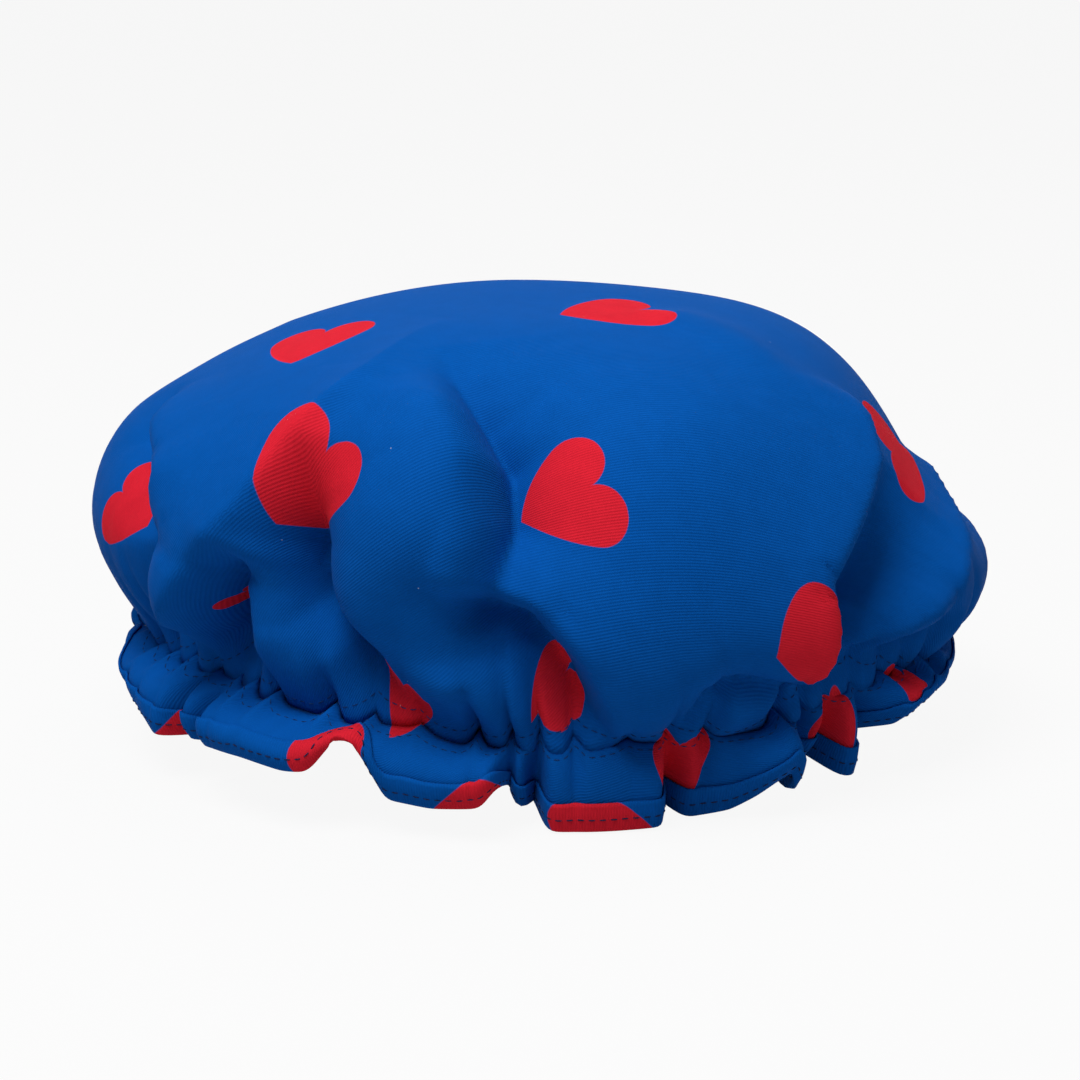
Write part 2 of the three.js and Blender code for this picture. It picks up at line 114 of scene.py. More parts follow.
VALLEYS = (
    crease(-14, 11, 0.45, (-84, 0.53, 0), (-75.5, 0.613, 0.6), (-62.5, 0.662, 1), (-54, 0.75, 1),
           (-56, 0.869, 1), (-59, 0.96, 1)),
    crease(-29, 8, -0.3, (-38.5, 0.72, 0), (-40, 0.769, 0.8), (-41.5, 0.831, 1), (-45.5, 0.938, 1),
           (-47, 0.98, 1)),
    crease(-29, 8.5, -0.3, (-32, 0.56, 0), (-30.5, 0.644, 0.6), (-30.5, 0.7, 1), (-29, 0.831, 1),
           (-25, 0.894, 1), (-24, 0.96, 0.8)),
    crease(-22, 13, -0.45, (-19, 0.33, 0), (-12, 0.41, 0.3), (-6, 0.475, 0.75), (-2, 0.545, 1),
           (-1.5, 0.656, 1), (-4, 0.73, 0.7), (-6, 0.78, 0.3)),
    crease(-22, 13, 0.5, (-11, 0.755, 0.4), (-1, 0.806, 1), (2.5, 0.863, 1), (5.5, 0.963, 1)),
    crease(-25, 14, -0.5, (69, 0.65, 0), (58, 0.71, 0.6), (43, 0.806, 1), (38.5, 0.956, 1)),
    crease(-12, 7, 0, (17, 0.985, 0.8), (18.5, 0.969, 1), (20.5, 0.912, 1), (24, 0.9, 1), (31.5, 0.931, 1),
           (33, 0.97, 1)),
    crease(-9, 7, 0, (66, 0.9, 0), (60, 0.925, 1), (53.5, 0.969, 1), (45.5, 0.985, 1)),
)
RIDGES = (
    crease(6, 10, -0.4, (-78, 0.5, 0), (-68, 0.6, 1), (-56, 0.656, 1), (-52, 0.856, 0.6)),
    crease(9, 13, 0.4, (-30, 0.2, 0), (-29, 0.42, 0.5), (-33, 0.54, 1), (-37.5, 0.669, 1), (-48, 0.819, 1),
           (-54, 0.9, 0.3)),
    crease(8, 8, 0, (-38.5, 0.75, 0.3), (-38.5, 0.787, 1), (-37, 0.863, 1), (-40, 0.96, 0.6)),
    roll(6, 18, 0, (-14, 0.4, 0), (-15, 0.48, 0.7), (-18, 0.631, 1), (-20.5, 0.769, 1), (-20, 0.919, 0.7)),
    roll(8, 16, 0.45, (-24, 0.34, 0), (-18, 0.42, 0.2), (-13, 0.5, 0.7), (-9.5, 0.569, 1), (-10, 0.675, 1),
         (-11.5, 0.756, 0.7), (-13, 0.83, 0)),
    crease(9, 14, -0.5, (-12, 0.715, 0.1), (-8.5, 0.727, 0.7), (-5, 0.74, 1), (1, 0.762, 1), (5, 0.815, 1),
           (8, 0.9, 1), (9, 0.969, 0.8)),
    roll(9, 12, 0, (-8.5, 0.85, 0.4), (-8.5, 0.875, 1), (-3, 0.95, 1), (2, 0.975, 0.6)),
    roll(3, 34, 0, (21, 0.556, 1), (14.5, 0.7, 1), (13, 0.894, 1)),
    crease(11, 14, 0.5, (66, 0.5, 0), (62, 0.57, 0.6), (57, 0.631, 1), (39, 0.762, 1), (33, 0.93, 0.8)),
    crease(5, 10, 0.3, (92, 0.66, 0), (90.5, 0.71, 1), (78, 0.772, 1), (65, 0.835, 1), (58, 0.88, 0.5)),
    crease(5, 8, 0.3, (62, 0.845, 0), (58, 0.863, 1), (47.5, 0.9, 1), (40.5, 0.956, 1)),
    roll(2.5, 12, 0, (59, 0.2, 0), (57.5, 0.275, 1), (53.5, 0.444, 1), (62, 0.55, 1), (69, 0.6, 0)),
)
BACK_VALLEYS = 6
BACK_START = 100.0
BACK_SPAN = 160.0


def back_folds() -> tuple[Fold, ...]:
    """Folds of the hidden side: valleys at an even pitch, each a little longer, deeper or more slanted.

    Returns:
        The folds.
    """
    folds = []
    for k in range(BACK_VALLEYS):
        azimuth = BACK_START + BACK_SPAN * (k + 0.5) / BACK_VALLEYS
        slant = 3 * math.sin(5.1 * k)
        starts = 0.45 + 0.08 * math.sin(2.3 * k)
        depth = -10 - 2 * math.sin(1.7 * k)
        line = ((azimuth + slant, starts, 0), (azimuth, 0.7, 1), (azimuth - slant / 2, 0.95, 1))
        folds.append(crease(depth, 13, 0, *line))
    return tuple(folds)


# Hem of the frill as (azimuth, reach out from the gather line, fall below it), from left to right.
FRONT_HEM = (
    (-97, 12, 8), (-91, -12, 20), (-84, 7, 7), (-76, 9, 12), (-66, 13, 18), (-58, 16, 21), (-55, -10, 22),
    (-52, 14, 17.5), (-50, 12, 18), (-48.5, -6, 21), (-47, 17, 16), (-38, 20, 14), (-32, 21, 14),
    (-29, 20, 13), (-27.5, 18, 7), (-25.5, 18, 1), (-23, 16, 3), (-21.5, 13, 11), (-20, 12, 19),
    (-14, 13, 19), (-8, 13, 17),
    (-6.5, 14, 10), (-5, -10, 16), (-3.5, 2, 21), (-1.5, -14, 21), (0.5, 4, 26), (8, 4, 26), (15.5, 5, 25.5),
    (17, -14, 22), (20, -2, 26.5), (26, 2, 25), (28.5, 6, 21), (31, 9, 16.5), (33.5, 10, 14), (35, 6, 26),
    (37, -15, 20), (41, -4, 19), (43.5, -14, 19), (45, 3, 26), (47.5, 4, 26.5), (49.5, -14, 18), (55, 6, 15),
    (63, 7, 12), (72, 5, 12), (84, 2, 11), (90, -12, 19), (97, 5, 20), (103, -12, 24), (109, 7, 22),
    (115, -13, 25),
)
BACK_RUFFLES = 13.5


def hem_points() -> Array:
    """Hem of the whole frill: the front's points, then uneven ruffles that swing out and in round the back.

    With c the cosine of a phase that wanders, the hem there reaches out by 0.5 - a c, where a wanders too,
    and falls by 23.5 + 1.5 c.

    Returns:
        Rows of azimuth, reach and fall.
    """
    start, end = FRONT_HEM[-1][0], FRONT_HEM[0][0] + 360
    part = np.linspace(0.01, 0.99, 160)
    wander = 1.3 * np.sin(TURN * 3 * part) + 0.6 * np.sin(TURN * 7 * part)
    swing = np.cos(TURN * BACK_RUFFLES * part + wander)
    swell = 13 + 2.5 * np.sin(TURN * 5 * part)
    back = np.stack([start + (end - start) * part, 0.5 - swell * swing, 23.5 + 1.5 * swing], 1)
    return np.concatenate([np.array(FRONT_HEM, float), back])


def unit(vectors: Array) -> Array:
    """Scale each vector of an array to length one."""
    return vectors / np.maximum(np.linalg.norm(vectors, axis=-1, keepdims=True), 1e-9)


def outward_normals(grid: Array) -> Array:
    """Normals of a grid of columns by rows whose columns close into a ring.

    Each is the cross product of the step down its column and the step to the next column.

    Args:
        grid: points, columns by rows by 3, with columns running to the right seen from outside.

    Returns:
        Unit vectors of the same shape that point outwards.
    """
    across = np.roll(grid, -1, 0) - np.roll(grid, 1, 0)
    down = np.gradient(grid, axis=1)
    return unit(np.cross(down, across))


def cubic(before: Array, start: Array, end: Array, after: Array, share: Array) -> Array:
    """Smooth curve through start and end, whose slope at each is half the step between its neighbours.

    Args:
        before, start, end, after: four points in a row.
        share: how far from start to end, from 0 to 1.

    Returns:
        The points at that share.
    """
    bend = 2 * before - 5 * start + 4 * end - after
    twist = 3 * (start - end) + after - before
    return start + 0.5 * share * (end - before + share * (bend + share * twist))


def smooth_round(values: Array, spread: float) -> Array:
    """Blur values round a closed ring by a bell, as a product with a bell of their waves.

    Args:
        values: one row for each column.
        spread: spread of the bell, in columns.

    Returns:
        The blurred values.
    """
    waves = np.fft.rfft(values, axis=0)
    rate = np.arange(waves.shape[0]) * TURN / values.shape[0]
    keep = np.exp(-0.5 * (rate * spread) ** 2)
    return np.fft.irfft(waves * keep.reshape(-1, *[1] * (values.ndim - 1)), values.shape[0], axis=0)


def ease(values: Array, start: float, end: float) -> Array:
    """Rise from 0 at start to 1 at end, level at both ends."""
    share = np.clip((values - start) / (end - start), 0, 1)
    return share * share * (3 - 2 * share)


@dataclass(frozen=True)
class GatherLine:
    """The oval line where the elastic draws the cloth in, which rises at the cap's sides.

    Attributes:
        half_width, half_depth: half axes of the oval.
        rise: how far the sides lie above front and back.
        rise_turn: azimuth of the lowest point, in degrees.
        gathers: small gathers round the line.
        gather_depth: half the depth of a gather.
    """

    half_width: float = 125.0
    half_depth: float = 107.0
    rise: float = 10.0
    rise_turn: float = 8.0
    gathers: int = 60
    gather_depth: float = 3.2

    def radial(self, azimuth: Array) -> Array:
        """Level unit vectors that point outwards at these azimuths."""
        return np.stack([np.sin(azimuth), -np.cos(azimuth), 0 * azimuth], -1)

    def height(self, azimuth: Array) -> Array:
        """Rise of the line: full at the sides, and none where the fourth power of the cosine is one."""
        return self.rise * (1 - np.cos(azimuth - math.radians(self.rise_turn)) ** 4)

    def points(self, azimuth: Array) -> Array:
        """Points of the line: an oval that rises at its sides.

        Args:
            azimuth: azimuths of the points.

        Returns:
            One point a row.
        """
        across = self.half_width * np.sin(azimuth)
        along = -self.half_depth * np.cos(azimuth)
        return np.stack([across, along, self.height(azimuth)], -1)

    def ripple(self, azimuth: Array) -> Array:
        """Depth of the gathers: a wave whose phase and depth wander, as hand-fed cloth does.

        With s the sine of half the phase, a gather is 1 - 2 (1 - |s|) ** 2, with a round crest and a
        sharp valley.

        Args:
            azimuth: azimuths of the columns.

        Returns:
            Height of the gathers at each column.
        """
        phase = self.gathers * azimuth + 2.2 * np.sin(7 * azimuth) + 1.3 * np.sin(17 * azimuth + 1)
        depth = 1 + 0.4 * np.sin(11 * azimuth + 2) + 0.25 * np.sin(23 * azimuth)
        return self.gather_depth * depth * (1 - 2 * (1 - np.abs(np.sin(phase / 2))) ** 2)

    def spread(self, azimuth: Array, share: Array) -> Array:
        """How much of a gather is left up the crown: some run out sooner than others, with a faint tail.

        The near part rises from its start by the power 1.3, and the tail by the square from half way down.

        Args:
            azimuth: azimuths of the columns.
            share: shares of the rows.

        Returns:
            Shares of the full gather, columns by rows.
        """
        start = 0.86 + 0.045 * np.sin(13 * azimuth + 1) + 0.03 * np.sin(29 * azimuth)
        near = np.clip((share[None, :] - start[:, None]) / (1 - start[:, None]), 0, 1) ** 1.3
        return near + 0.1 * np.clip((share[None, :] - 0.5) / 0.4, 0, 1) ** 2 * (1 - near)


@dataclass(frozen=True)
class Profile:
    """Outline of the plain crown on one side, from the top to the gather line.

    Attributes:
        points: corners of the outline as (reach from the middle, height).
        rounding: length over which a corner is rounded, as a share of the outline.
        fine: points of the rounded outline.
    """

    points: tuple[tuple[float, float], ...]
    rounding: float = 0.05
    fine: int = 600

    def at(self, share: Array) -> Array:
        """Points at shares of the outline's length, with its corners rounded by two running means.

        Args:
            share: shares from 0 at the top to 1 at the gather line.

        Returns:
            Rows of reach and height.
        """
        corners = np.array(self.points)
        length = np.concatenate([[0], np.cumsum(np.linalg.norm(np.diff(corners, axis=0), axis=1))])
        run = np.linspace(0, length[-1], self.fine)
        line = np.stack([np.interp(run, length, corners[:, k]) for k in (0, 1)], 1)
        wide = int(self.rounding * self.fine)
        for _ in range(2):
            before, after = 2 * line[0] - line[wide:0:-1], 2 * line[-1] - line[-2:-wide - 2:-1]
            total = np.cumsum(np.concatenate([before, line, after]), axis=0)
            line = (total[2 * wide:] - np.concatenate([[[0, 0]], total[:-2 * wide - 1]])) / (2 * wide + 1)
        length = np.concatenate([[0], np.cumsum(np.linalg.norm(np.diff(line, axis=0), axis=1))])
        return np.stack([np.interp(share * length[-1], length, line[:, k]) for k in (0, 1)], 1)


FRONT_PROFILE = Profile((
    (0, 116.5), (50, 115), (85, 109), (106, 98.5), (119, 85), (126, 67), (128, 48), (125, 28), (117, 12),
    (109, 5), (107, 0),
))
BACK_PROFILE = Profile((
    (0, 116.5), (24, 116), (45, 112.5), (70, 104.5), (95, 91.5), (113, 76), (124, 58), (127, 44),
    (124.5, 26), (117, 12), (109, 5), (107, 0),
))
RIGHT_PROFILE = Profile((
    (-9.5, 116.5), (30, 115.3), (66, 110.8), (78, 107), (90.5, 100), (102.5, 88.5), (112.5, 72.5),
    (126.5, 47), (147, 36), (142, 17), (130, 7), (125, 10),
))
LEFT_PROFILE = Profile((
    (9.5, 116.5), (36, 115.2), (55.5, 112.3), (74, 107.3), (94, 100.3), (107, 94.3), (120, 86), (134.5, 78),
    (142.5, 68), (148.5, 48.5), (147, 40), (137.5, 21.5), (128.5, 13), (125, 10),
))


@dataclass
class CapForm:
    """Shape of the cap's one round sheet of cloth: the puffed crown and the frill below the gather line.

    Attributes:
        lean: shift of the crown's top to the left.
        gather_radius: radius of the gather line in the flat sheet.
        frill: length of the frill in the flat sheet.
        billow: most that spare length of the frill swells out.
        columns, rows: points round the crown and down it; the frill has two columns for each of these.
        frill_rows: points down the frill.
        crown, skirt: points of crown and frill, columns by rows by 3.
    """

    gather: GatherLine = field(default_factory=GatherLine)
    lean: float = 9.5
    gather_radius: float = 218.0
    frill: float = 27.0
    billow: float = 7.0
    columns: int = 480
    rows: int = 100
    frill_rows: int = 19
    crown: Array = field(init=False)
    skirt: Array = field(init=False)

    def plain(self, azimuth: Array, share: Array) -> Array:
        """Plain crown without folds.

        Each level is an oval whose reach to the front, left, right and back comes from the outlines there.
        Its height is the outlines' height, mixed by the squares of the azimuth's sine and cosine.

        Args:
            azimuth: azimuths of the columns.
            share: shares of the rows.

        Returns:
            Points, columns by rows by 3.
        """
        sides = (FRONT_PROFILE, BACK_PROFILE, RIGHT_PROFILE, LEFT_PROFILE)
        front, back, right, left = (side.at(share) for side in sides)
        middle = -self.lean * (1 - share ** 2)
        sine, cosine = np.sin(azimuth)[:, None], np.cos(azimuth)[:, None]
        reach = np.where(sine > 0, right[:, 0] - middle, left[:, 0] + middle)
        beside = np.where(sine > 0, right[:, 1], left[:, 1])
        along = np.where(cosine > 0, front[:, 0], back[:, 0])
        ahead = np.where(cosine > 0, front[:, 1], back[:, 1])
        up = cosine ** 2 * ahead + sine ** 2 * beside
        up = up + (self.gather.height(azimuth)[:, None] - up[:, -1:]) * share ** 8
        return np.stack([middle + reach * sine, -along * cosine, up], -1)

    def distance(
        self, fold: Fold, azimuth: Array, share: Array, radius: Array
    ) -> tuple[Array, Array, Array]:
        """Distance along the cloth from each point to a fold's line, the least over its straight runs.

        Args:
            fold: the fold.
            azimuth, share, radius: place of each point, and its distance from the crown's middle.

        Returns:
            The distances, how far each point lies to the right, as the sine of its bearing, and the fold's
            strength there.
        """
        best = np.full(azimuth.shape, np.inf)
        side, strength = np.zeros(azimuth.shape), np.zeros(azimuth.shape)
        for (az_a, sh_a, firm_a), (az_b, sh_b, firm_b) in zip(fold.line[:-1], fold.line[1:]):
            off = (np.degrees(azimuth) - az_a + 180) % 360 - 180
            x, y = np.radians(off) * radius, (share - sh_a) * self.gather_radius
            dx, dy = np.radians(az_b - az_a) * radius, (sh_b - sh_a) * self.gather_radius
            part = np.clip((x * dx + y * dy) / (dx * dx + dy * dy + 1e-9), 0, 1)
            away = np.hypot(x - part * dx, y - part * dy)
            bearing = (x * dy - y * dx) / (np.hypot(dx, dy) * np.maximum(away, 1e-6))
            nearer = away < best
            side = np.where(nearer, np.clip(bearing, -1, 1), side)
            strength = np.where(nearer, firm_a + (firm_b - firm_a) * part, strength)
            best = np.minimum(best, away)
        return best, side, strength

    def fold_crown(self) -> None:
        """Push the folds of the crown out and in, then gather it.

        Each fold adds its lift times its strength times exp(-(distance / half width) ** power of its kind).
        A fold that leans is narrower on one side and wider on the other. Folds run out at the gather line,
        and stand along the mean normal of the cloth around them.
        """
        azimuth = np.arange(self.columns) * TURN / self.columns
        share = np.arange(1, self.rows + 1) / self.rows
        base = self.plain(azimuth, share)
        az, sh = np.meshgrid(azimuth, share, indexing="ij")
        radius = np.maximum(np.hypot(base[..., 0] + self.lean, base[..., 1]), 60)
        lift = np.zeros_like(sh)
        for fold in VALLEYS + RIDGES + back_folds():
            away, side, strength = self.distance(fold, az, sh, radius)
            width = fold.half_width * (1 - fold.lean * side)
            lift += fold.lift * strength * np.exp(-np.abs(away / width) ** fold.kind.value)
        lift *= 1 - np.clip((sh - 0.93) / 0.07, 0, 1) ** 2
        normals = outward_normals(base)
        around = [normals[:, np.clip(np.arange(self.rows) + k, 0, self.rows - 1)] for k in (-8, -4, 0, 4, 8)]
        gathers = self.gather.ripple(azimuth)[:, None] * self.gather.spread(azimuth, share)
        self.crown = base + unit(sum(around)) * (lift + gathers)[..., None]
        LOG.info("crown folded on %d by %d", self.columns, self.rows)

    def hang_frill(self) -> None:
        """Hang the frill from the gather line to its hem.

        Down a column the cloth first swings out, by t (2 - t), and falls more and more, by t ** 1.4. Length
        to spare billows out by a half wave where the hem hangs. The small gathers fade by (1 - t) ** 1.3.
        """
        columns, rows = 2 * self.columns, self.frill_rows
        azimuth = np.arange(columns) * TURN / columns
        edge = self.crown[:, -1]
        ring = np.stack([edge, (edge + np.roll(edge, -1, 0)) / 2], 1).reshape(-1, 3)
        hem = hem_points()
        order = np.argsort(hem[:, 0] % 360)
        at, reach, fall = hem[order, 0] % 360, hem[order, 1], hem[order, 2]
        reach = smooth_round(np.interp(np.degrees(azimuth), at, reach, period=360), HEM_SPREAD)
        fall = smooth_round(np.interp(np.degrees(azimuth), at, fall, period=360), HEM_SPREAD)
        down = np.linspace(0, 1, rows)
        base = self.gather.points(azimuth)
        spare = np.sqrt(np.maximum(self.frill ** 2 - reach ** 2 - fall ** 2, 0))
        billow = smooth_round(np.minimum(0.32 * spare, self.billow) * np.clip(fall / 14, 0, 1), 2.0)
        swing = np.outer(reach, down * (2 - down)) + np.outer(billow, np.sin(math.pi * down))
        goal = base[:, None, :] + self.gather.radial(azimuth)[:, None, :] * swing[..., None]
        goal = goal + (ring - base)[:, None, :] * ((1 - down) ** 1.3)[None, :, None]
        goal[..., 2] -= np.outer(fall, down ** 1.4)
        self.skirt = goal
        LOG.info("frill hung on %d by %d", columns, rows)

    def shape(self) -> None:
        """Fold the crown, then hang the frill."""
        self.fold_crown()
        self.hang_frill()

    def flat_rings(self, columns: int, radius: Array) -> Array:
        """Places of rings of points in the flat sheet: each radius times the sine and cosine of its azimuth.

        Args:
            columns: points in a ring.
            radius: radius of each ring.

        Returns:
            Places, columns by rings by 2.
        """
        azimuth = np.arange(columns) * TURN / columns
        return np.stack([np.outer(np.sin(azimuth), radius), np.outer(-np.cos(azimuth), radius)], -1)

    def flat_crown(self) -> Array:
        """Places of the crown's points in the flat sheet, columns by rows by 2."""
        columns, rows = self.crown.shape[:2]
        return self.flat_rings(columns, np.arange(1, rows + 1) * self.gather_radius / rows)

    def flat_skirt(self) -> Array:
        """Places of the frill's points in the flat sheet, columns by rows by 2."""
        columns, rows = self.skirt.shape[:2]
        return self.flat_rings(columns, self.gather_radius + self.frill * np.linspace(0, 1, rows))


@dataclass(frozen=True)
class HeartPrint:
    """Plain hearts scattered over the cloth.

    In its own units a heart's tip lies at y 0. Each side is a round lobe and, below it, an arc of a larger
    circle that meets the lobe smoothly and runs to the tip.

    Attributes:
        width: width of a heart.
        spacing: pitch of the scatter where the hearts aren't placed one by one.
        clearance: least distance of a scattered heart from one that is placed.
        lobe_radius, lobe_x, lobe_y: radius and middle of a lobe, in the heart's own units.
        side_turn: where the arc leaves the lobe, in degrees below its side.
        placed: hearts of the front as (azimuth, share, turn of the tip in degrees, size).
    """

    width: float = 37.0
    spacing: float = 82.0
    clearance: float = 79.0
    lobe_radius: float = 0.365
    lobe_x: float = 0.355
    lobe_y: float = 0.95
    side_turn: float = 22.0
    placed: tuple[tuple[float, float, float, float], ...] = (
        (-60.9, 0.346, -22, 1), (44.1, 0.193, -67, 1), (-30.8, 0.61, -58, 1), (5.9, 0.61, -65, 1),
        (-66, 0.725, 10, 1), (77, 0.64, 150, 1), (33, 0.842, -54, 1), (1.5, 0.935, -62, 0.72),
        (-19, 0.965, -40, 0.8), (-42.8, 0.862, -25, 0.38), (18.5, 1.06, 20, 0.9),
        (44, 1.07, 80, 0.8), (57, 1.04, 10, 0.6),
    )

    @property
    def unit(self) -> float:
        """Millimetres in one of the heart's own units."""
        return self.width / (2 * (self.lobe_x + self.lobe_radius))

    @property
    def side_radius(self) -> float:
        """Radius of the arc that meets the lobe smoothly at the side's turn and runs through the tip."""
        a, x, y, turn = self.lobe_radius, self.lobe_x, self.lobe_y, math.radians(self.side_turn)
        return a + (x * x + y * y - a * a) / (2 * (a + x * math.cos(turn) - y * math.sin(turn)))

    def centres(self, gather_radius: float) -> Array:
        """Hearts on the flat sheet.

        The placed ones come first. The rest lie on rows half a pitch apart from each other, off any placed
        heart, and each is turned by a golden angle more than the last.

        Args:
            gather_radius: radius of the gather line in the flat sheet.

        Returns:
            Rows of x, y, the direction of the tip in radians and the size.
        """
        placed = np.array(self.placed)
        azimuth, radius = np.radians(placed[:, 0]), placed[:, 1] * gather_radius
        fixed = np.stack(
            [radius * np.sin(azimuth), -radius * np.cos(azimuth), np.radians(placed[:, 2]), placed[:, 3]], 1)
        count = int(2 * gather_radius / self.spacing) + 2
        i, j = np.meshgrid(np.arange(-count, count + 1), np.arange(-count, count + 1), indexing="ij")
        x = (i + 0.5 * (j % 2)) * self.spacing + 9 * np.sin(3 * j + i)
        y = j * self.spacing * 0.86 + 9 * np.cos(5 * i + 2 * j)
        spots = np.stack([x.ravel(), y.ravel()], 1)
        gap = np.linalg.norm(spots[:, None] - fixed[None, :, :2], axis=2).min(1)
        spots = spots[gap > self.clearance]
        turns = np.arange(len(spots)) * GOLDEN_ANGLE
        return np.concatenate([fixed, np.column_stack([spots, turns, np.ones(len(spots))])])

    def local(self, corners: Array, faces: Array, hearts: Array) -> Array:
        """Each face corner in the units of the heart nearest to its face.

        Args:
            corners: flat places of the face corners.
            faces: the face of each corner.
            hearts: rows of x, y, the direction of the tip and the size.

        Returns:
            Places of the corners with the tip at the origin and the notch above it.
        """
        count = np.bincount(faces)
        middle = np.stack([np.bincount(faces, corners[:, k]) / count for k in (0, 1)], 1)
        nearest = np.argmin(((middle[:, None] - hearts[None, :, :2]) ** 2).sum(2), axis=1)[faces]
        away = corners - hearts[nearest, :2]
        tip = hearts[nearest, 2]
        down = np.stack([np.sin(tip), -np.cos(tip)], 1)
        side = np.stack([np.cos(tip), np.sin(tip)], 1)
        middle_height = 0.5 * (self.lobe_y + self.lobe_radius)
        unit_length = self.unit * hearts[nearest, 3]
        x = (away * side).sum(1) / unit_length
        y = middle_height - (away * down).sum(1) / unit_length
        return np.stack([x, y], 1)


def ring_faces(columns: int, rows: int, closed_rows: bool = False) -> Array:
    """Four-sided faces of a grid whose columns close into a ring.

    Args:
        columns, rows: size of the grid; a point's index is column * rows + row.
        closed_rows: whether the rows close on themselves too, as in a tube.

    Returns:
        Corner indices of the faces, counter-clockwise seen from outside.
    """
    i, j = np.meshgrid(np.arange(columns), np.arange(rows if closed_rows else rows - 1), indexing="ij")
    beside, below = (i + 1) % columns, (j + 1) % rows
    corners = [i * rows + j, i * rows + below, beside * rows + below, beside * rows + j]
    return np.stack(corners, -1).reshape(-1, 4)


def flip_outward(points: Array, faces: list[Array]) -> list[Array]:
    """Turn all faces round if the volume that they enclose comes out below zero.

    The volume has the sign of the sum of a . (b x c) over all triangles.

    Args:
        points: corners of the faces.
        faces: arrays of corner indices.

    Returns:
        The faces, turned outwards.
    """
    volume = 0.0
    for group in faces:
        for k in range(1, group.shape[1] - 1):
            a, b, c = points[group[:, 0]], points[group[:, k]], points[group[:, k + 1]]
            volume += (a * np.cross(b, c)).sum()
    return faces if volume > 0 else [group[:, ::-1] for group in faces]


def make_piece(
    name: str, points: Array, faces: list[Array], maps: dict[str, Array], material: Material
) -> Piece:
    """Put points and faces into a new object at the ring's place in the frame.

    Args:
        name: name of the piece.
        points: places in millimetres, from the lowest point of the gather line.
        faces: arrays of corner indices, one array for each count of corners.
        maps: UV maps by name, one row for each face corner in the order of the faces.
        material: finish of the piece.

    Returns:
        The new object.
    """
    mesh = bpy.data.meshes.new(name)
    spot = gather_spot()
    rows = [row for group in faces for row in group.tolist()]
    mesh.from_pydata((points.reshape(-1, 3) * MM + spot).tolist(), [], rows)
    for label, values in maps.items():
        layer = mesh.uv_layers.new(name=label)
        layer.data.foreach_set("uv", np.ascontiguousarray(values, np.float32).ravel())
    mesh.materials.append(material)
    mesh.shade_smooth()
    mesh.update()
    piece = bpy.data.objects.new(name, mesh)
    bpy.context.scene.collection.objects.link(piece)
    LOG.info("%s: %d faces", name, len(rows))
    return piece


def gather_spot() -> Array:
    """Middle of the gather line at its lowest level, taken from the elastic's solid.

    Returns:
        The place in the frame, in metres.
    """
    low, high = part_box("elastic_band")
    half_elastic = 0.5 * Elastic.width * MM
    return np.array([(low.x + high.x) / 2, (low.y + high.y) / 2, low.z + half_elastic])


def corner_points(faces: list[Array]) -> Array:
    """Point index of every face corner, in the order of the faces."""
    return np.concatenate([group.ravel() for group in faces])


def corner_faces(faces: list[Array]) -> Array:
    """Face index of every face corner, in the order of the faces."""
    sizes = np.concatenate([np.full(len(group), group.shape[1]) for group in faces])
    return np.repeat(np.arange(len(sizes)), sizes)


FLAT_UNIT = 10.0  # millimetres of cloth to one unit of a flat map


@dataclass
class ClothLayer:
    """A thin closed layer of cloth that follows a grid.

    Attributes:
        name: name of the piece.
        grid: points of the sheet, columns by rows by 3.
        flat: their places in the flat sheet.
        outer, inner: depths of the layer's two faces under the grid.
        capped: whether the first row closes over the crown's top.
    """

    name: str
    grid: Array
    flat: Array
    outer: float
    inner: float
    capped: bool

    def build(
        self, material: Material, print_: HeartPrint | None = None, hearts: Array | None = None
    ) -> Piece:
        """Make the layer: outer and inner faces along the normals, rims, and a fan over the crown's top.

        Args:
            material: finish of the layer.
            print_: heart print, where the layer is printed.
            hearts: hearts on the flat sheet.

        Returns:
            The new object.
        """
        columns, rows = self.grid.shape[:2]
        normals = outward_normals(self.grid)
        layers = [self.grid - normals * depth for depth in (self.outer, self.inner)]
        points = np.concatenate([layer.reshape(-1, 3) for layer in layers])
        flat = np.concatenate([self.flat.reshape(-1, 2)] * 2)
        size = columns * rows
        quads = ring_faces(columns, rows)
        start = np.arange(columns) * rows
        after = np.roll(start, -1)
        end, end_after = start + rows - 1, after + rows - 1
        hem = np.stack([end_after, end, end + size, end_after + size], 1)
        faces = [np.concatenate([quads, quads[:, ::-1] + size, hem])]
        if self.capped:
            tops = np.stack([layer[:, 0].mean(0) for layer in layers])
            points, flat = np.concatenate([points, tops]), np.concatenate([flat, np.zeros((2, 2))])
            top = np.full(columns, 2 * size)
            faces.append(np.stack([start, after, top], 1))
            faces.append(np.stack([after + size, start + size, top + 1], 1))
            faces = [faces[0], np.concatenate(faces[1:])]
        else:
            rim = np.stack([start, after, after + size, start + size], 1)
            faces = [np.concatenate([faces[0], rim])]
        corners = flat[corner_points(faces)]
        maps = {"flat": corners / FLAT_UNIT}
        if print_ is not None:
            maps["heart"] = print_.local(corners, corner_faces(faces), hearts)
        return make_piece(self.name, points, faces, maps, material)


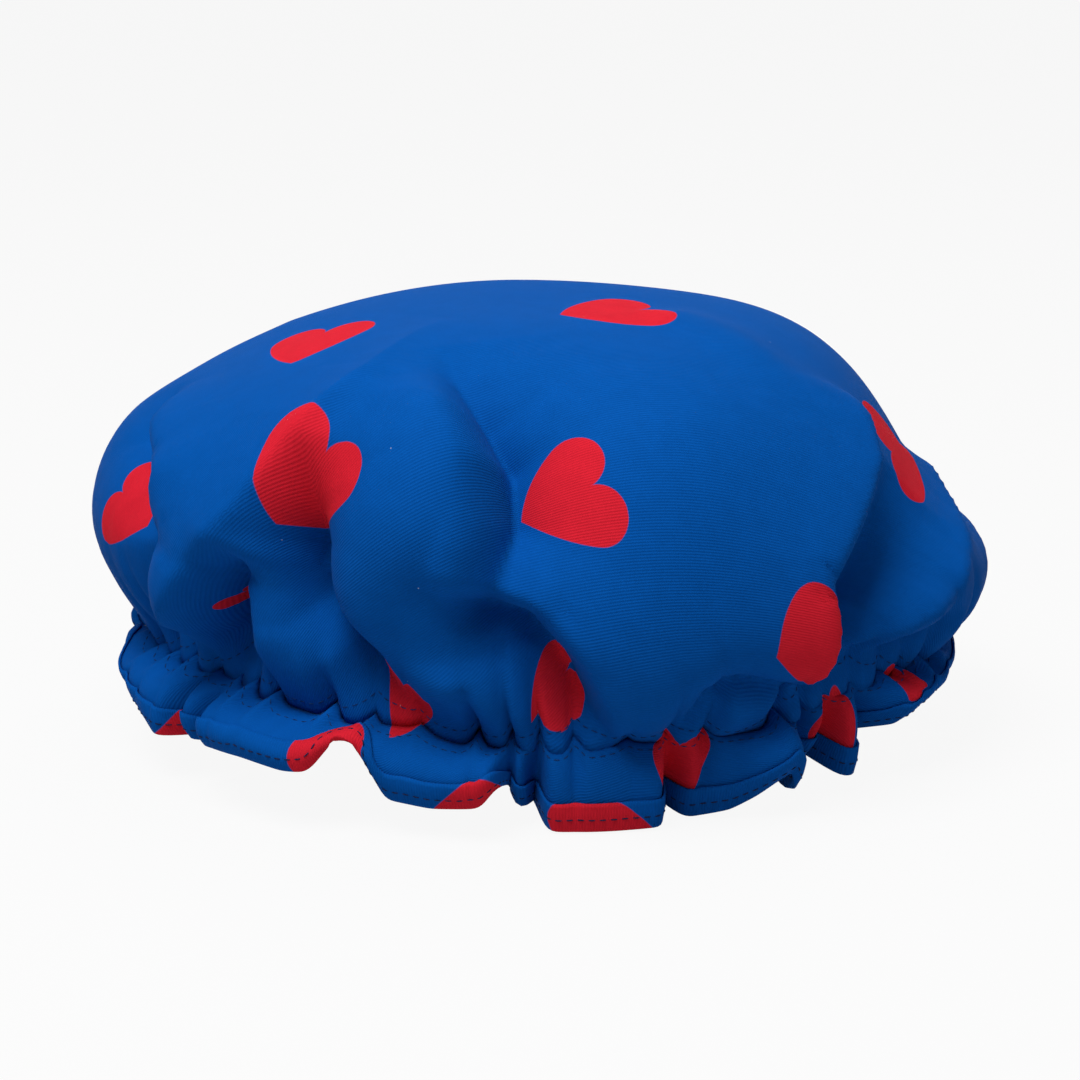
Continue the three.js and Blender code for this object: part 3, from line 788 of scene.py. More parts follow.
@dataclass(frozen=True)
class StitchRow:
    """A row of single stitches along a closed path on the cloth.

    Attributes:
        length: visible length of a stitch.
        gap: cloth between two stitches.
        thickness: width of the thread.
        steps, sides: points along a stitch and round it.
    """

    length: float = 2.6
    gap: float = 0.7
    thickness: float = 0.42
    steps: int = 5
    sides: int = 6

    def shape(self, path: Array, normals: Array) -> tuple[Array, list[Array]]:
        """Stitches as small spindles that dive into the cloth at both ends.

        Along a stitch, with t from -1 to 1, the thread lies 0.35 - 0.75 t ** 2 of its width over the path,
        and its radius shrinks by the root of 1 - (0.93 t) ** 4.

        Args:
            path: points of the closed path.
            normals: outward directions at these points.

        Returns:
            Points and faces of all stitches.
        """
        ring = np.concatenate([path, path[:1]])
        out = np.concatenate([normals, normals[:1]])
        run = np.concatenate([[0], np.cumsum(np.linalg.norm(np.diff(ring, axis=0), axis=1))])
        count = int(run[-1] / (self.length + self.gap))
        along = np.linspace(-1, 1, self.steps)
        spots = (np.arange(count) + 0.5)[:, None] * run[-1] / count + 0.5 * self.length * along
        line = np.stack([np.interp(spots, run, ring[:, k]) for k in range(3)], -1)
        up = unit(np.stack([np.interp(spots, run, out[:, k]) for k in range(3)], -1))
        line = line + up * (self.thickness * (0.35 - 0.75 * along ** 2))[None, :, None]
        side = unit(np.cross(np.gradient(line, axis=1), up))
        angle = np.arange(self.sides) * TURN / self.sides
        radius = 0.5 * self.thickness * np.sqrt(1 - (0.93 * along) ** 4)
        circle = up[:, :, None] * np.cos(angle)[:, None] + side[:, :, None] * np.sin(angle)[:, None]
        points = line[:, :, None] + circle * radius[None, :, None, None]
        first = np.arange(count)[:, None] * self.steps * self.sides
        i, j = np.meshgrid(np.arange(self.steps - 1), np.arange(self.sides), indexing="ij")
        turn = (j + 1) % self.sides
        near, far = i * self.sides, (i + 1) * self.sides
        one = [near + j, far + j, far + turn, near + turn]
        quads = (np.stack(one, -1).reshape(1, -1, 4) + first[..., None]).reshape(-1, 4)
        ends = [np.arange(self.sides)[None, :] + first]
        ends.append(np.arange(self.sides)[None, ::-1] + first + (self.steps - 1) * self.sides)
        points = points.reshape(-1, 3)
        return points, flip_outward(points, [quads, np.concatenate(ends)])


def strip_map(faces: list[Array], along: Array, across: Array) -> Array:
    """Flat map of a strip, in which corners past the seam join the strip's far end.

    Args:
        faces: faces of the strip.
        along: run of each point along the strip.
        across: place of each point across the strip.

    Returns:
        One row for each face corner, in millimetres.
    """
    points, owner = corner_points(faces), corner_faces(faces)
    run = along[points]
    total = along.max()
    highest = np.zeros(owner.max() + 1)
    np.maximum.at(highest, owner, run)
    run = np.where(highest[owner] - run > 0.5 * total, run + total, run)
    return np.stack([run, across[points]], 1)


@dataclass
class EdgeBinding:
    """The strip of the same cloth that is folded over the frill's edge and sewn through.

    Attributes:
        width: visible width on each face.
        proud: height of the folded strip over the cloth.
        body: half the thickness of cloth and lining together.
        reach: how far the fold lies past the edge of the cloth.
        hearts: hearts on the strip, as (run, place across, turn of the tip in degrees).
        free: stretch of the run at the back where one heart lies each pitch.
        rows: points across the strip.
        stitch: the stitches along it.
        strip, normals: points of its middle surface, and their outward directions.
    """

    form: CapForm
    width: float = 9.0
    proud: float = 0.85
    body: float = 0.35
    reach: float = 0.5
    rows: int = 8
    stitch: StitchRow = field(default_factory=StitchRow)
    hearts: tuple[tuple[float, float, float], ...] = (
        (1346, 14.4, 90), (1398, 15.5, 0), (21, 14.4, 90), (1228, 16, 0),
    )
    free: tuple[float, float] = (280.0, 1080.0)
    pitch: float = 78.0
    strip: Array = field(init=False)
    normals: Array = field(init=False)

    def __post_init__(self) -> None:
        """Take the frill's last stretch as the strip's middle surface."""
        skirt = self.form.skirt
        rows = skirt.shape[1]
        step = np.linalg.norm(np.diff(skirt, axis=1), axis=2)[:, ::-1]
        climb = np.concatenate([np.zeros((len(skirt), 1)), np.cumsum(step, axis=1)], axis=1)
        levels = np.linspace(self.width, 0, self.rows)
        place = np.stack([rows - 1 - np.interp(levels, rise, np.arange(rows)) for rise in climb])
        top = np.minimum(np.floor(place).astype(int), rows - 2)
        column = np.arange(len(skirt))[:, None]
        picks = [skirt[column, np.clip(top + k, 0, rows - 1)] for k in (-1, 0, 1, 2)]
        self.strip = cubic(*picks, (place - top)[..., None])
        self.normals = outward_normals(self.strip)

    def section(self) -> Array:
        """Outline of the folded strip as (row place from 0 to 1, depth, drop past the hem).

        It runs down the outer face, round the fold, up the inner face and back between strip and cloth.

        Returns:
            One point of the outline a row.
        """
        near, far = self.body, self.body + self.proud
        down = np.linspace(0, 1, self.rows)
        swell = far - 0.12 * np.cos(TURN * down)
        outer = [(0.0, near + 0.1, 0.0), *[(t, d, 0.0) for t, d in zip(down, swell)]]
        bends = np.linspace(0.5, math.pi - 0.5, 4)
        fold = [(1.0, far * math.cos(a), self.reach * math.sin(a)) for a in bends]
        inner = [(t, -d, 0.0) for t, d in zip(down[::-1], swell[::-1])] + [(0.0, -near - 0.1, 0.0)]
        lap = [(0.06, -near, 0.0), (0.96, -near, 0.0), (0.96, near, 0.0), (0.06, near, 0.0)]
        return np.array(outer + fold + inner + lap)

    def run(self) -> Array:
        """Length along the middle of the strip at each column, summed over its steps.

        Returns:
            The lengths.
        """
        middle = self.strip[:, self.rows // 2]
        step = np.linalg.norm(np.roll(middle, -1, 0) - middle, axis=1)
        return np.concatenate([[0], np.cumsum(step)[:-1]])

    def heart_spots(self) -> Array:
        """Hearts on the strip: the placed ones, then one each pitch at the back.

        Returns:
            Rows of run, place across, direction of the tip in radians and size.
        """
        spots = np.arange(*self.free, self.pitch)
        turns = np.degrees(GOLDEN_ANGLE * np.arange(len(spots)))
        free = np.column_stack([spots, 9 + 9 * np.sin(2 * spots), turns])
        every = np.concatenate([np.array(self.hearts, float), free])
        return np.column_stack([every[:, :2], np.radians(every[:, 2]), np.ones(len(every))])

    def build(self, material: Material, print_: HeartPrint) -> Piece:
        """Carry the section along the hem.

        Args:
            material: finish of the strip.
            print_: heart print.

        Returns:
            The new object.
        """
        outline = self.section()
        columns = len(self.strip)
        place = outline[:, 0] * (self.rows - 1)
        top = np.minimum(np.floor(place).astype(int), self.rows - 2)
        share = (place - top)[None, :, None]
        middle = self.strip[:, top] * (1 - share) + self.strip[:, top + 1] * share
        normal = unit(self.normals[:, top] * (1 - share) + self.normals[:, top + 1] * share)
        drop = unit(self.strip[:, -1] - self.strip[:, -2])
        points = middle + normal * outline[None, :, 1:2] + drop[:, None, :] * outline[None, :, 2:3]
        faces = flip_outward(points.reshape(-1, 3), [ring_faces(columns, len(outline), True)])
        along = np.repeat(self.run(), len(outline))
        steps = np.hypot(np.diff(outline[:, 0]) * self.width, np.diff(outline[:, 1]))
        across = np.concatenate([[0], np.cumsum(steps)])
        flat = strip_map(faces, along, np.tile(across, columns))
        hearts = self.heart_spots()
        maps = {"flat": flat / FLAT_UNIT, "heart": print_.local(flat, corner_faces(faces), hearts)}
        return make_piece("hem_binding", points, faces, maps, material)

    def build_stitches(self, material: Material) -> Piece:
        """Sew a row of stitches along the middle of both faces.

        Args:
            material: finish of the thread.

        Returns:
            The new object.
        """
        middle, normal = self.strip[:, self.rows // 2], self.normals[:, self.rows // 2]
        height = self.body + self.proud + 0.05
        points, faces = self.stitch.shape(middle + normal * height, normal)
        under, under_faces = self.stitch.shape(middle - normal * height, -normal)
        faces = [np.concatenate([a, b + len(points)]) for a, b in zip(faces, under_faces)]
        points = np.concatenate([points, under])
        return make_piece("binding_stitches", points, faces, {}, material)


@dataclass
class Elastic:
    """The elastic loop in its tunnel, with its tape and the rows of stitches that close the tunnel.

    Attributes:
        width, thickness: size of the flat elastic.
        lap: overlap of its sewn ends.
        depth: how far its outer face lies inside the gather line.
        tape_width, tape_thickness: size of the tape.
        tape_depth: how far the tape lies inside the gather line.
        tape_bulge: how much further out its edges lie than its middle.
        tape_follow: how much of the cloth's gathers it shares.
        row_height: distance of each row of stitches from the middle of the elastic.
        lap_gap: clearance between the lapped ends.
        corner: radius of the elastic's corners.
        zigzags, zigzag_radius: stitches that sew the lap, and half their thread's width.
        columns: points round the loop.
        stitch: the stitches of both rows.
    """

    form: CapForm
    width: ClassVar[float] = 5.0
    thickness: float = 1.0
    lap: float = 22.0
    depth: float = 5.8
    tape_width: float = 11.0
    tape_thickness: float = 0.4
    tape_depth: float = 9.0
    tape_bulge: float = 2.6
    tape_follow: float = 0.45
    row_height: float = 4.2
    lap_gap: float = 0.3
    corner: float = 0.3
    zigzags: int = 9
    zigzag_radius: float = 0.2
    columns: int = 480
    stitch: StitchRow = field(default_factory=lambda: StitchRow(length=2.2, gap=0.9, thickness=0.34))

    def band(self, azimuth: Array, depth: Array, section: Array) -> Array:
        """Carry a section along the gather line at a depth inside it.

        Args:
            azimuth: azimuths of the columns.
            depth: depth of each column.
            section: rows of (inward, up).

        Returns:
            Points, columns by section by 3.
        """
        gather = self.form.gather
        line = gather.points(azimuth) - gather.radial(azimuth) * depth[:, None]
        inward = -gather.radial(azimuth)
        points = line[:, None, :] + inward[:, None, :] * section[None, :, 0:1]
        points[..., 2] += section[None, :, 1]
        return points

    def oblong(self, width: float, thickness: float, corner: float) -> Array:
        """Section of a flat strip with rounded corners, three points to a corner.

        Args:
            width, thickness: size of the strip.
            corner: radius of its corners.

        Returns:
            Rows of (inward, up).
        """
        half, deep = width / 2 - corner, thickness - 2 * corner
        middles = np.array([(corner + deep, half), (corner, half), (corner, -half), (corner + deep, -half)])
        turns = np.radians([[0, 45, 90], [90, 135, 180], [180, 225, 270], [270, 315, 360]])
        spokes = np.stack([np.cos(turns), np.sin(turns)], -1)
        return (middles[:, None] + corner * spokes).reshape(-1, 2)

    def build_loop(self, material: Material) -> Piece:
        """Lay the elastic once round, with its second end inside the first at the back.

        Args:
            material: finish of the elastic.

        Returns:
            The new object.
        """
        half_lap = 0.5 * self.lap / self.form.gather.half_depth
        azimuth = np.linspace(-math.pi - half_lap, math.pi + half_lap, self.columns)
        inside = ease(azimuth, math.pi - 4 * half_lap, math.pi - 2 * half_lap)
        depth = self.depth + inside * (self.thickness + self.lap_gap)
        section = self.oblong(self.width, self.thickness, self.corner)
        points = self.band(azimuth, depth, section)
        count = len(section)
        quads = ring_faces(self.columns, count, True)[: -count]
        last = (self.columns - 1) * count
        ends = np.stack([np.arange(count)[::-1], np.arange(count) + last])
        faces = flip_outward(points.reshape(-1, 3), [quads, ends])
        along = np.repeat(azimuth * self.form.gather.half_width, count)
        across = np.tile(section[:, 1], self.columns)
        corners = corner_points(faces)
        flat = np.stack([along[corners], across[corners]], 1)
        return make_piece("elastic_loop", points, faces, {"flat": flat / FLAT_UNIT}, material)

    def build_splice(self, material: Material) -> Piece:
        """Zigzag over the elastic's lapped ends: a thin tube along a triangle wave.

        Args:
            material: finish of the thread.

        Returns:
            The new object.
        """
        sides = self.stitch.sides
        t = np.linspace(0, 1, 8 * self.zigzags + 1)
        swing = 2 * np.abs(2 * ((self.zigzags * t / 2) % 1) - 1) - 1
        half_lap = 0.35 * self.lap / self.form.gather.half_depth
        azimuth = math.pi + (2 * t - 1) * half_lap
        depth = np.full(len(t), self.depth + 2 * self.thickness + 0.45)
        line = self.band(azimuth, depth, np.zeros((1, 2)))[:, 0]
        line[:, 2] += 0.38 * self.width * swing
        tangent = unit(np.gradient(line, axis=0))
        inward = -self.form.gather.radial(azimuth)
        side = unit(np.cross(tangent, inward))
        angle = np.arange(sides) * TURN / sides
        circle = inward[:, None] * np.cos(angle)[:, None] + side[:, None] * np.sin(angle)[:, None]
        points = line[:, None] + self.zigzag_radius * circle
        quads = ring_faces(len(t), sides, True)[: -sides]
        ends = np.stack([np.arange(sides)[::-1], np.arange(sides) + sides * (len(t) - 1)])
        faces = flip_outward(points.reshape(-1, 3), [quads, ends])
        return make_piece("splice_zigzag", points, faces, {}, material)

    def build_tape(self, material: Material) -> Piece:
        """Tape over the elastic: a strip that bulges over it and shares the cloth's gathers at its edges.

        With u from 1 at its upper edge to -1 at its lower one, it lies at its depth less the bulge times
        |u| ** 3, less the gathers times a share of 0.35 + |u|.

        Args:
            material: finish of the tape.

        Returns:
            The new object.
        """
        azimuth = np.arange(self.columns) * TURN / self.columns
        up = np.linspace(1, -1, 11)
        bulge = self.tape_depth - self.tape_bulge * np.abs(up) ** 3
        ripple = self.form.gather.ripple(azimuth)
        gather = self.form.gather
        layers = []
        for offset in (0.0, self.tape_thickness):
            depth = bulge[None, :] + offset - self.tape_follow * np.outer(ripple, 0.35 + np.abs(up))
            layer = gather.points(azimuth)[:, None] - gather.radial(azimuth)[:, None] * depth[..., None]
            layer[..., 2] += 0.5 * self.tape_width * up
            layers.append(layer)
        points = np.concatenate([layers[0], layers[1][:, ::-1]], axis=1)
        faces = flip_outward(points.reshape(-1, 3), [ring_faces(self.columns, points.shape[1], True)])
        along = np.repeat(azimuth * gather.half_width, points.shape[1])
        width = 0.5 * self.tape_width * np.concatenate([up, up[::-1]])
        flat = strip_map(faces, along, np.tile(width, self.columns))
        return make_piece("tunnel_tape", points, faces, {"flat": flat / FLAT_UNIT}, material)

    def build_row(self, name: str, grid: Array, flat_step: float, material: Material) -> Piece:
        """Sew a row of stitches at the row height on the outer face of the cloth.

        Args:
            name: name of the piece.
            grid: points of the cloth.
            flat_step: distance between two rows in the flat sheet, below zero if the gather line comes last.
            material: finish of the thread.

        Returns:
            The new object.
        """
        place = self.row_height / flat_step + (grid.shape[1] - 1 if flat_step < 0 else 0)
        row = int(place)
        share = place - row
        path = grid[:, row] * (1 - share) + grid[:, row + 1] * share
        normal = outward_normals(grid)[:, row]
        points, faces = self.stitch.shape(path, normal)
        return make_piece(name, points, faces, {}, material)


@dataclass
class Sketch:
    """Short hand for the nodes of one material."""

    name: str
    material: Material = field(init=False)

    def __post_init__(self) -> None:
        """Start from the plain shader."""
        self.material = bpy.data.materials.new(self.name)
        self.material.use_nodes = True
        self.tree = self.material.node_tree
        self.shader = self.tree.nodes["Principled BSDF"]

    def feed(self, socket: Socket, value: Socket | float | tuple) -> None:
        """Link a socket to another, or set its value.

        Args:
            socket: the socket that takes the value.
            value: an output socket or a constant.
        """
        if isinstance(value, bpy.types.NodeSocket):
            self.tree.links.new(value, socket)
        else:
            socket.default_value = value

    def set(self, **values: Socket | float | tuple) -> None:
        """Feed the shader's sockets.

        Args:
            values: values by the sockets' names, in lower case with underscores.
        """
        for name, value in values.items():
            words = name.replace("_", " ").title().replace("Ior", "IOR")
            self.feed(self.shader.inputs[words], value)

    def node(
        self, kind: str, *inputs: Socket | float | tuple | None, out: int | str = 0, **settings: object
    ) -> Socket:
        """Add a node.

        Args:
            kind: the node's type, without its common prefix.
            inputs: values of its sockets in order; None leaves one as it is.
            out: which output is returned.
            settings: properties of the node.

        Returns:
            One output socket.
        """
        made = self.tree.nodes.new("ShaderNode" + kind)
        for name, value in settings.items():
            setattr(made, name, value)
        for socket, value in zip(made.inputs, inputs):
            if value is not None:
                self.feed(socket, value)
        return made.outputs[out]

    def math(self, operation: str, *inputs: Socket | float) -> Socket:
        """Add a node of plain arithmetic."""
        return self.node("Math", *inputs, operation=operation)

    def vector(self, operation: str, a: Socket, b: tuple, out: str = "Vector") -> Socket:
        """Add a node of vector arithmetic."""
        return self.node("VectorMath", a, b, operation=operation, out=out)

    def uv(self, name: str) -> Socket:
        """Read a UV map."""
        return self.node("UVMap", uv_map=name)

    def blend(self, share: Socket | float, a: Socket | tuple, b: Socket | tuple) -> Socket:
        """Mix two colours.

        Args:
            share: share of the second colour.
            a, b: the colours.

        Returns:
            The mixed colour.
        """
        made = self.tree.nodes.new("ShaderNodeMix")
        made.data_type = "RGBA"
        for socket, value in ((0, share), (6, a), (7, b)):
            self.feed(made.inputs[socket], value)
        return made.outputs[2]

    def noise(self, place: Socket, scale: float, detail: float = 2.0) -> Socket:
        """Read a noise between 0 and 1.

        Args:
            place: where it is read.
            scale, detail: fineness of the noise.

        Returns:
            The noise.
        """
        made = self.tree.nodes.new("ShaderNodeTexNoise")
        self.feed(made.inputs["Vector"], place)
        made.inputs["Scale"].default_value = scale
        made.inputs["Detail"].default_value = detail
        return made.outputs["Fac"]

    def span(self, value: Socket, low: float, high: float, to_low: float, to_high: float) -> Socket:
        """Map a range to another, clamped."""
        return self.node("MapRange", value, low, high, to_low, to_high)

    def wave(self, place: Socket, direction: tuple, pitch: float) -> Socket:
        """Wave between 0 and 1 along a direction of a map: half of one plus the sine.

        Args:
            place: where it is read.
            direction: direction of the wave.
            pitch: length of a wave.

        Returns:
            The wave.
        """
        run = self.vector("DOT_PRODUCT", place, direction, out="Value")
        sine = self.math("SINE", self.math("MULTIPLY", run, TURN / pitch))
        return self.math("MULTIPLY_ADD", sine, 0.5, 0.5)

    def bump(self, height: Socket, depth: float, strength: float = 1.0) -> Socket:
        """Turn a height between 0 and 1 into a normal.

        Args:
            height: the height.
            depth: full height, in metres.
            strength: share of the effect.

        Returns:
            The normal.
        """
        made = self.tree.nodes.new("ShaderNodeBump")
        made.inputs["Strength"].default_value = strength
        made.inputs["Distance"].default_value = depth
        self.feed(made.inputs["Height"], height)
        return made.outputs["Normal"]


@dataclass(frozen=True)
class PrintedCloth:
    """Finely ribbed polyester, printed with hearts.

    Attributes:
        ground, motif: colours of the ground and the hearts, in linear light.
        rib: pitch of the ribs in units of the flat map.
        rib_turn: direction of the ribs, in degrees.
        rib_depth: height of the ribs, in metres.
        edge: softness of the print's edge, in the heart's own units.
    """

    name: str
    print_: HeartPrint
    ground: tuple[float, float, float] = (0.0022, 0.090, 0.40)
    motif: tuple[float, float, float] = (0.72, 0.018, 0.036)
    rib: float = 0.085
    rib_turn: float = 15.0
    rib_depth: float = 0.00011
    edge: float = 0.006

    def heart(self, sketch: Sketch) -> Socket:
        """Mask of the hearts, from distances to their arcs.

        A point is inside where it lies in a lobe, or in a side's arc and below both the joint of lobe and
        arc and the lobe's middle.

        Args:
            sketch: nodes of the material.

        Returns:
            A socket that is 1 inside a heart and 0 outside.
        """
        p = self.print_
        turn = math.radians(p.side_turn)
        reach = p.side_radius - p.lobe_radius
        lobe = (p.lobe_x, p.lobe_y, 0.0)
        arc = (p.lobe_x - reach * math.cos(turn), p.lobe_y + reach * math.sin(turn), 0.0)
        place = sketch.node("VectorMath", sketch.uv("heart"), operation="ABSOLUTE")
        height = sketch.node("SeparateXYZ", sketch.uv("heart"), out=1)
        width = sketch.node("SeparateXYZ", place, out=0)
        spot = sketch.node("CombineXYZ", width, height, 0.0)
        in_lobe = sketch.math("SUBTRACT", sketch.vector("DISTANCE", spot, lobe, "Value"), p.lobe_radius)
        in_arc = sketch.math("SUBTRACT", sketch.vector("DISTANCE", spot, arc, "Value"), p.side_radius)
        across = sketch.vector("DOT_PRODUCT", spot, (math.sin(turn), math.cos(turn), 0.0), "Value")
        joint = math.sin(turn) * p.lobe_x + math.cos(turn) * p.lobe_y
        below = sketch.math("SUBTRACT", across, joint)
        below = sketch.math("MAXIMUM", below, sketch.math("SUBTRACT", height, p.lobe_y))
        away = sketch.math("MINIMUM", in_lobe, sketch.math("MAXIMUM", in_arc, below))
        return sketch.span(away, -self.edge, self.edge, 1.0, 0.0)

    def material(self) -> Material:
        """Make the finish: print, ribs with a finer cross thread, faint mottling and stray lint.

        Returns:
            The material.
        """
        sketch = Sketch(self.name)
        flat = sketch.uv("flat")
        turn = math.radians(self.rib_turn)
        ribs = sketch.wave(flat, (-math.sin(turn), math.cos(turn), 0.0), self.rib)
        threads = sketch.wave(flat, (math.cos(turn), math.sin(turn), 0.0), 0.4 * self.rib)
        mottle = sketch.noise(flat, 1.3, 3.0)
        slub = sketch.noise(flat, 9.0, 2.0)
        weave = sketch.math("MULTIPLY_ADD", threads, 0.25, sketch.math("MULTIPLY", ribs, 0.75))
        colour = sketch.blend(self.heart(sketch), (*self.ground, 1.0), (*self.motif, 1.0))
        shade = sketch.math("MULTIPLY_ADD", weave, 0.10, 0.90)
        shade = sketch.math("MULTIPLY", shade, sketch.span(mottle, 0.3, 0.7, 0.965, 1.035))
        shade = sketch.math("MULTIPLY", shade, sketch.span(slub, 0.3, 0.7, 0.97, 1.03))
        tinted = sketch.node("VectorMath", colour, shade, operation="MULTIPLY")
        lint = sketch.tree.nodes.new("ShaderNodeTexVoronoi")
        lint.inputs["Scale"].default_value = 0.55
        sketch.feed(lint.inputs["Vector"], flat)
        speck = sketch.span(lint.outputs["Distance"], 0.008, 0.014, 0.5, 0.0)
        sketch.set(
            base_color=sketch.blend(speck, tinted, (0.75, 0.78, 0.82, 1.0)),
            roughness=sketch.span(weave, 0.0, 1.0, 0.62, 0.48),
            specular_ior_level=0.004,
            sheen_weight=0.01,
            sheen_roughness=0.3,
            normal=sketch.bump(weave, self.rib_depth),
        )
        return sketch.material


@dataclass(frozen=True)
class LiningFilm:
    """Thin pale waterproof lining with faint crinkles."""

    name: str = "lining_film"
    colour: tuple[float, float, float] = (0.55, 0.60, 0.72)

    def material(self) -> Material:
        """Make the finish: a milky tint that varies, and fine crinkles.

        Returns:
            The material.
        """
        sketch = Sketch(self.name)
        flat = sketch.uv("flat")
        cloud = sketch.noise(flat, 0.8, 3.0)
        crinkle = sketch.noise(flat, 3.5, 6.0)
        low = tuple(0.93 * c for c in self.colour)
        share = sketch.span(cloud, 0.3, 0.7, 0.0, 1.0)
        sketch.set(
            base_color=sketch.blend(share, (*low, 1.0), (*self.colour, 1.0)),
            roughness=sketch.span(crinkle, 0.3, 0.7, 0.36, 0.5),
            specular_ior_level=0.4,
            normal=sketch.bump(crinkle, 0.0003, 0.6),
        )
        return sketch.material


@dataclass(frozen=True)
class Thread:
    """Spun sewing thread."""

    name: str
    colour: tuple[float, float, float]

    def material(self) -> Material:
        """Make the finish: a twist across the thread and a fuzzy sheen.

        Returns:
            The material.
        """
        sketch = Sketch(self.name)
        place = sketch.node("TexCoord", out="Object")
        twist = sketch.wave(place, (0.7, 0.5, 0.5), 0.0006)
        low = tuple(0.6 * c for c in self.colour)
        sketch.set(
            base_color=sketch.blend(twist, (*low, 1.0), (*self.colour, 1.0)),
            roughness=sketch.span(twist, 0.0, 1.0, 0.85, 0.7),
            specular_ior_level=0.05,
            sheen_weight=0.02,
            normal=sketch.bump(twist, 0.00006),
        )
        return sketch.material


@dataclass(frozen=True)
class Webbing:
    """Woven strip with lengthwise cords and cross threads: the elastic or the tape.

    Attributes:
        colour: colour of the yarn, in linear light.
        cord, thread: pitch of cords and threads, in units of the flat map.
        depth: height of the weave, in metres.
    """

    name: str
    colour: tuple[float, float, float]
    cord: float
    thread: float
    depth: float

    def material(self) -> Material:
        """Make the finish: cords along the strip, threads across it, and a slightly yarny colour.

        Returns:
            The material.
        """
        sketch = Sketch(self.name)
        flat = sketch.uv("flat")
        cords = sketch.wave(flat, (0.0, 1.0, 0.0), self.cord)
        threads = sketch.wave(flat, (1.0, 0.0, 0.0), self.thread)
        weave = sketch.math("MULTIPLY_ADD", cords, 0.6, sketch.math("MULTIPLY", threads, 0.4))
        yarn = sketch.noise(flat, 6.0, 3.0)
        low = tuple(0.8 * c for c in self.colour)
        shade = sketch.math("MULTIPLY", weave, sketch.span(yarn, 0.3, 0.7, 0.7, 1.0))
        sketch.set(
            base_color=sketch.blend(shade, (*low, 1.0), (*self.colour, 1.0)),
            roughness=sketch.span(weave, 0.0, 1.0, 0.85, 0.7),
            sheen_weight=0.1,
            normal=sketch.bump(weave, self.depth),
        )
        return sketch.material


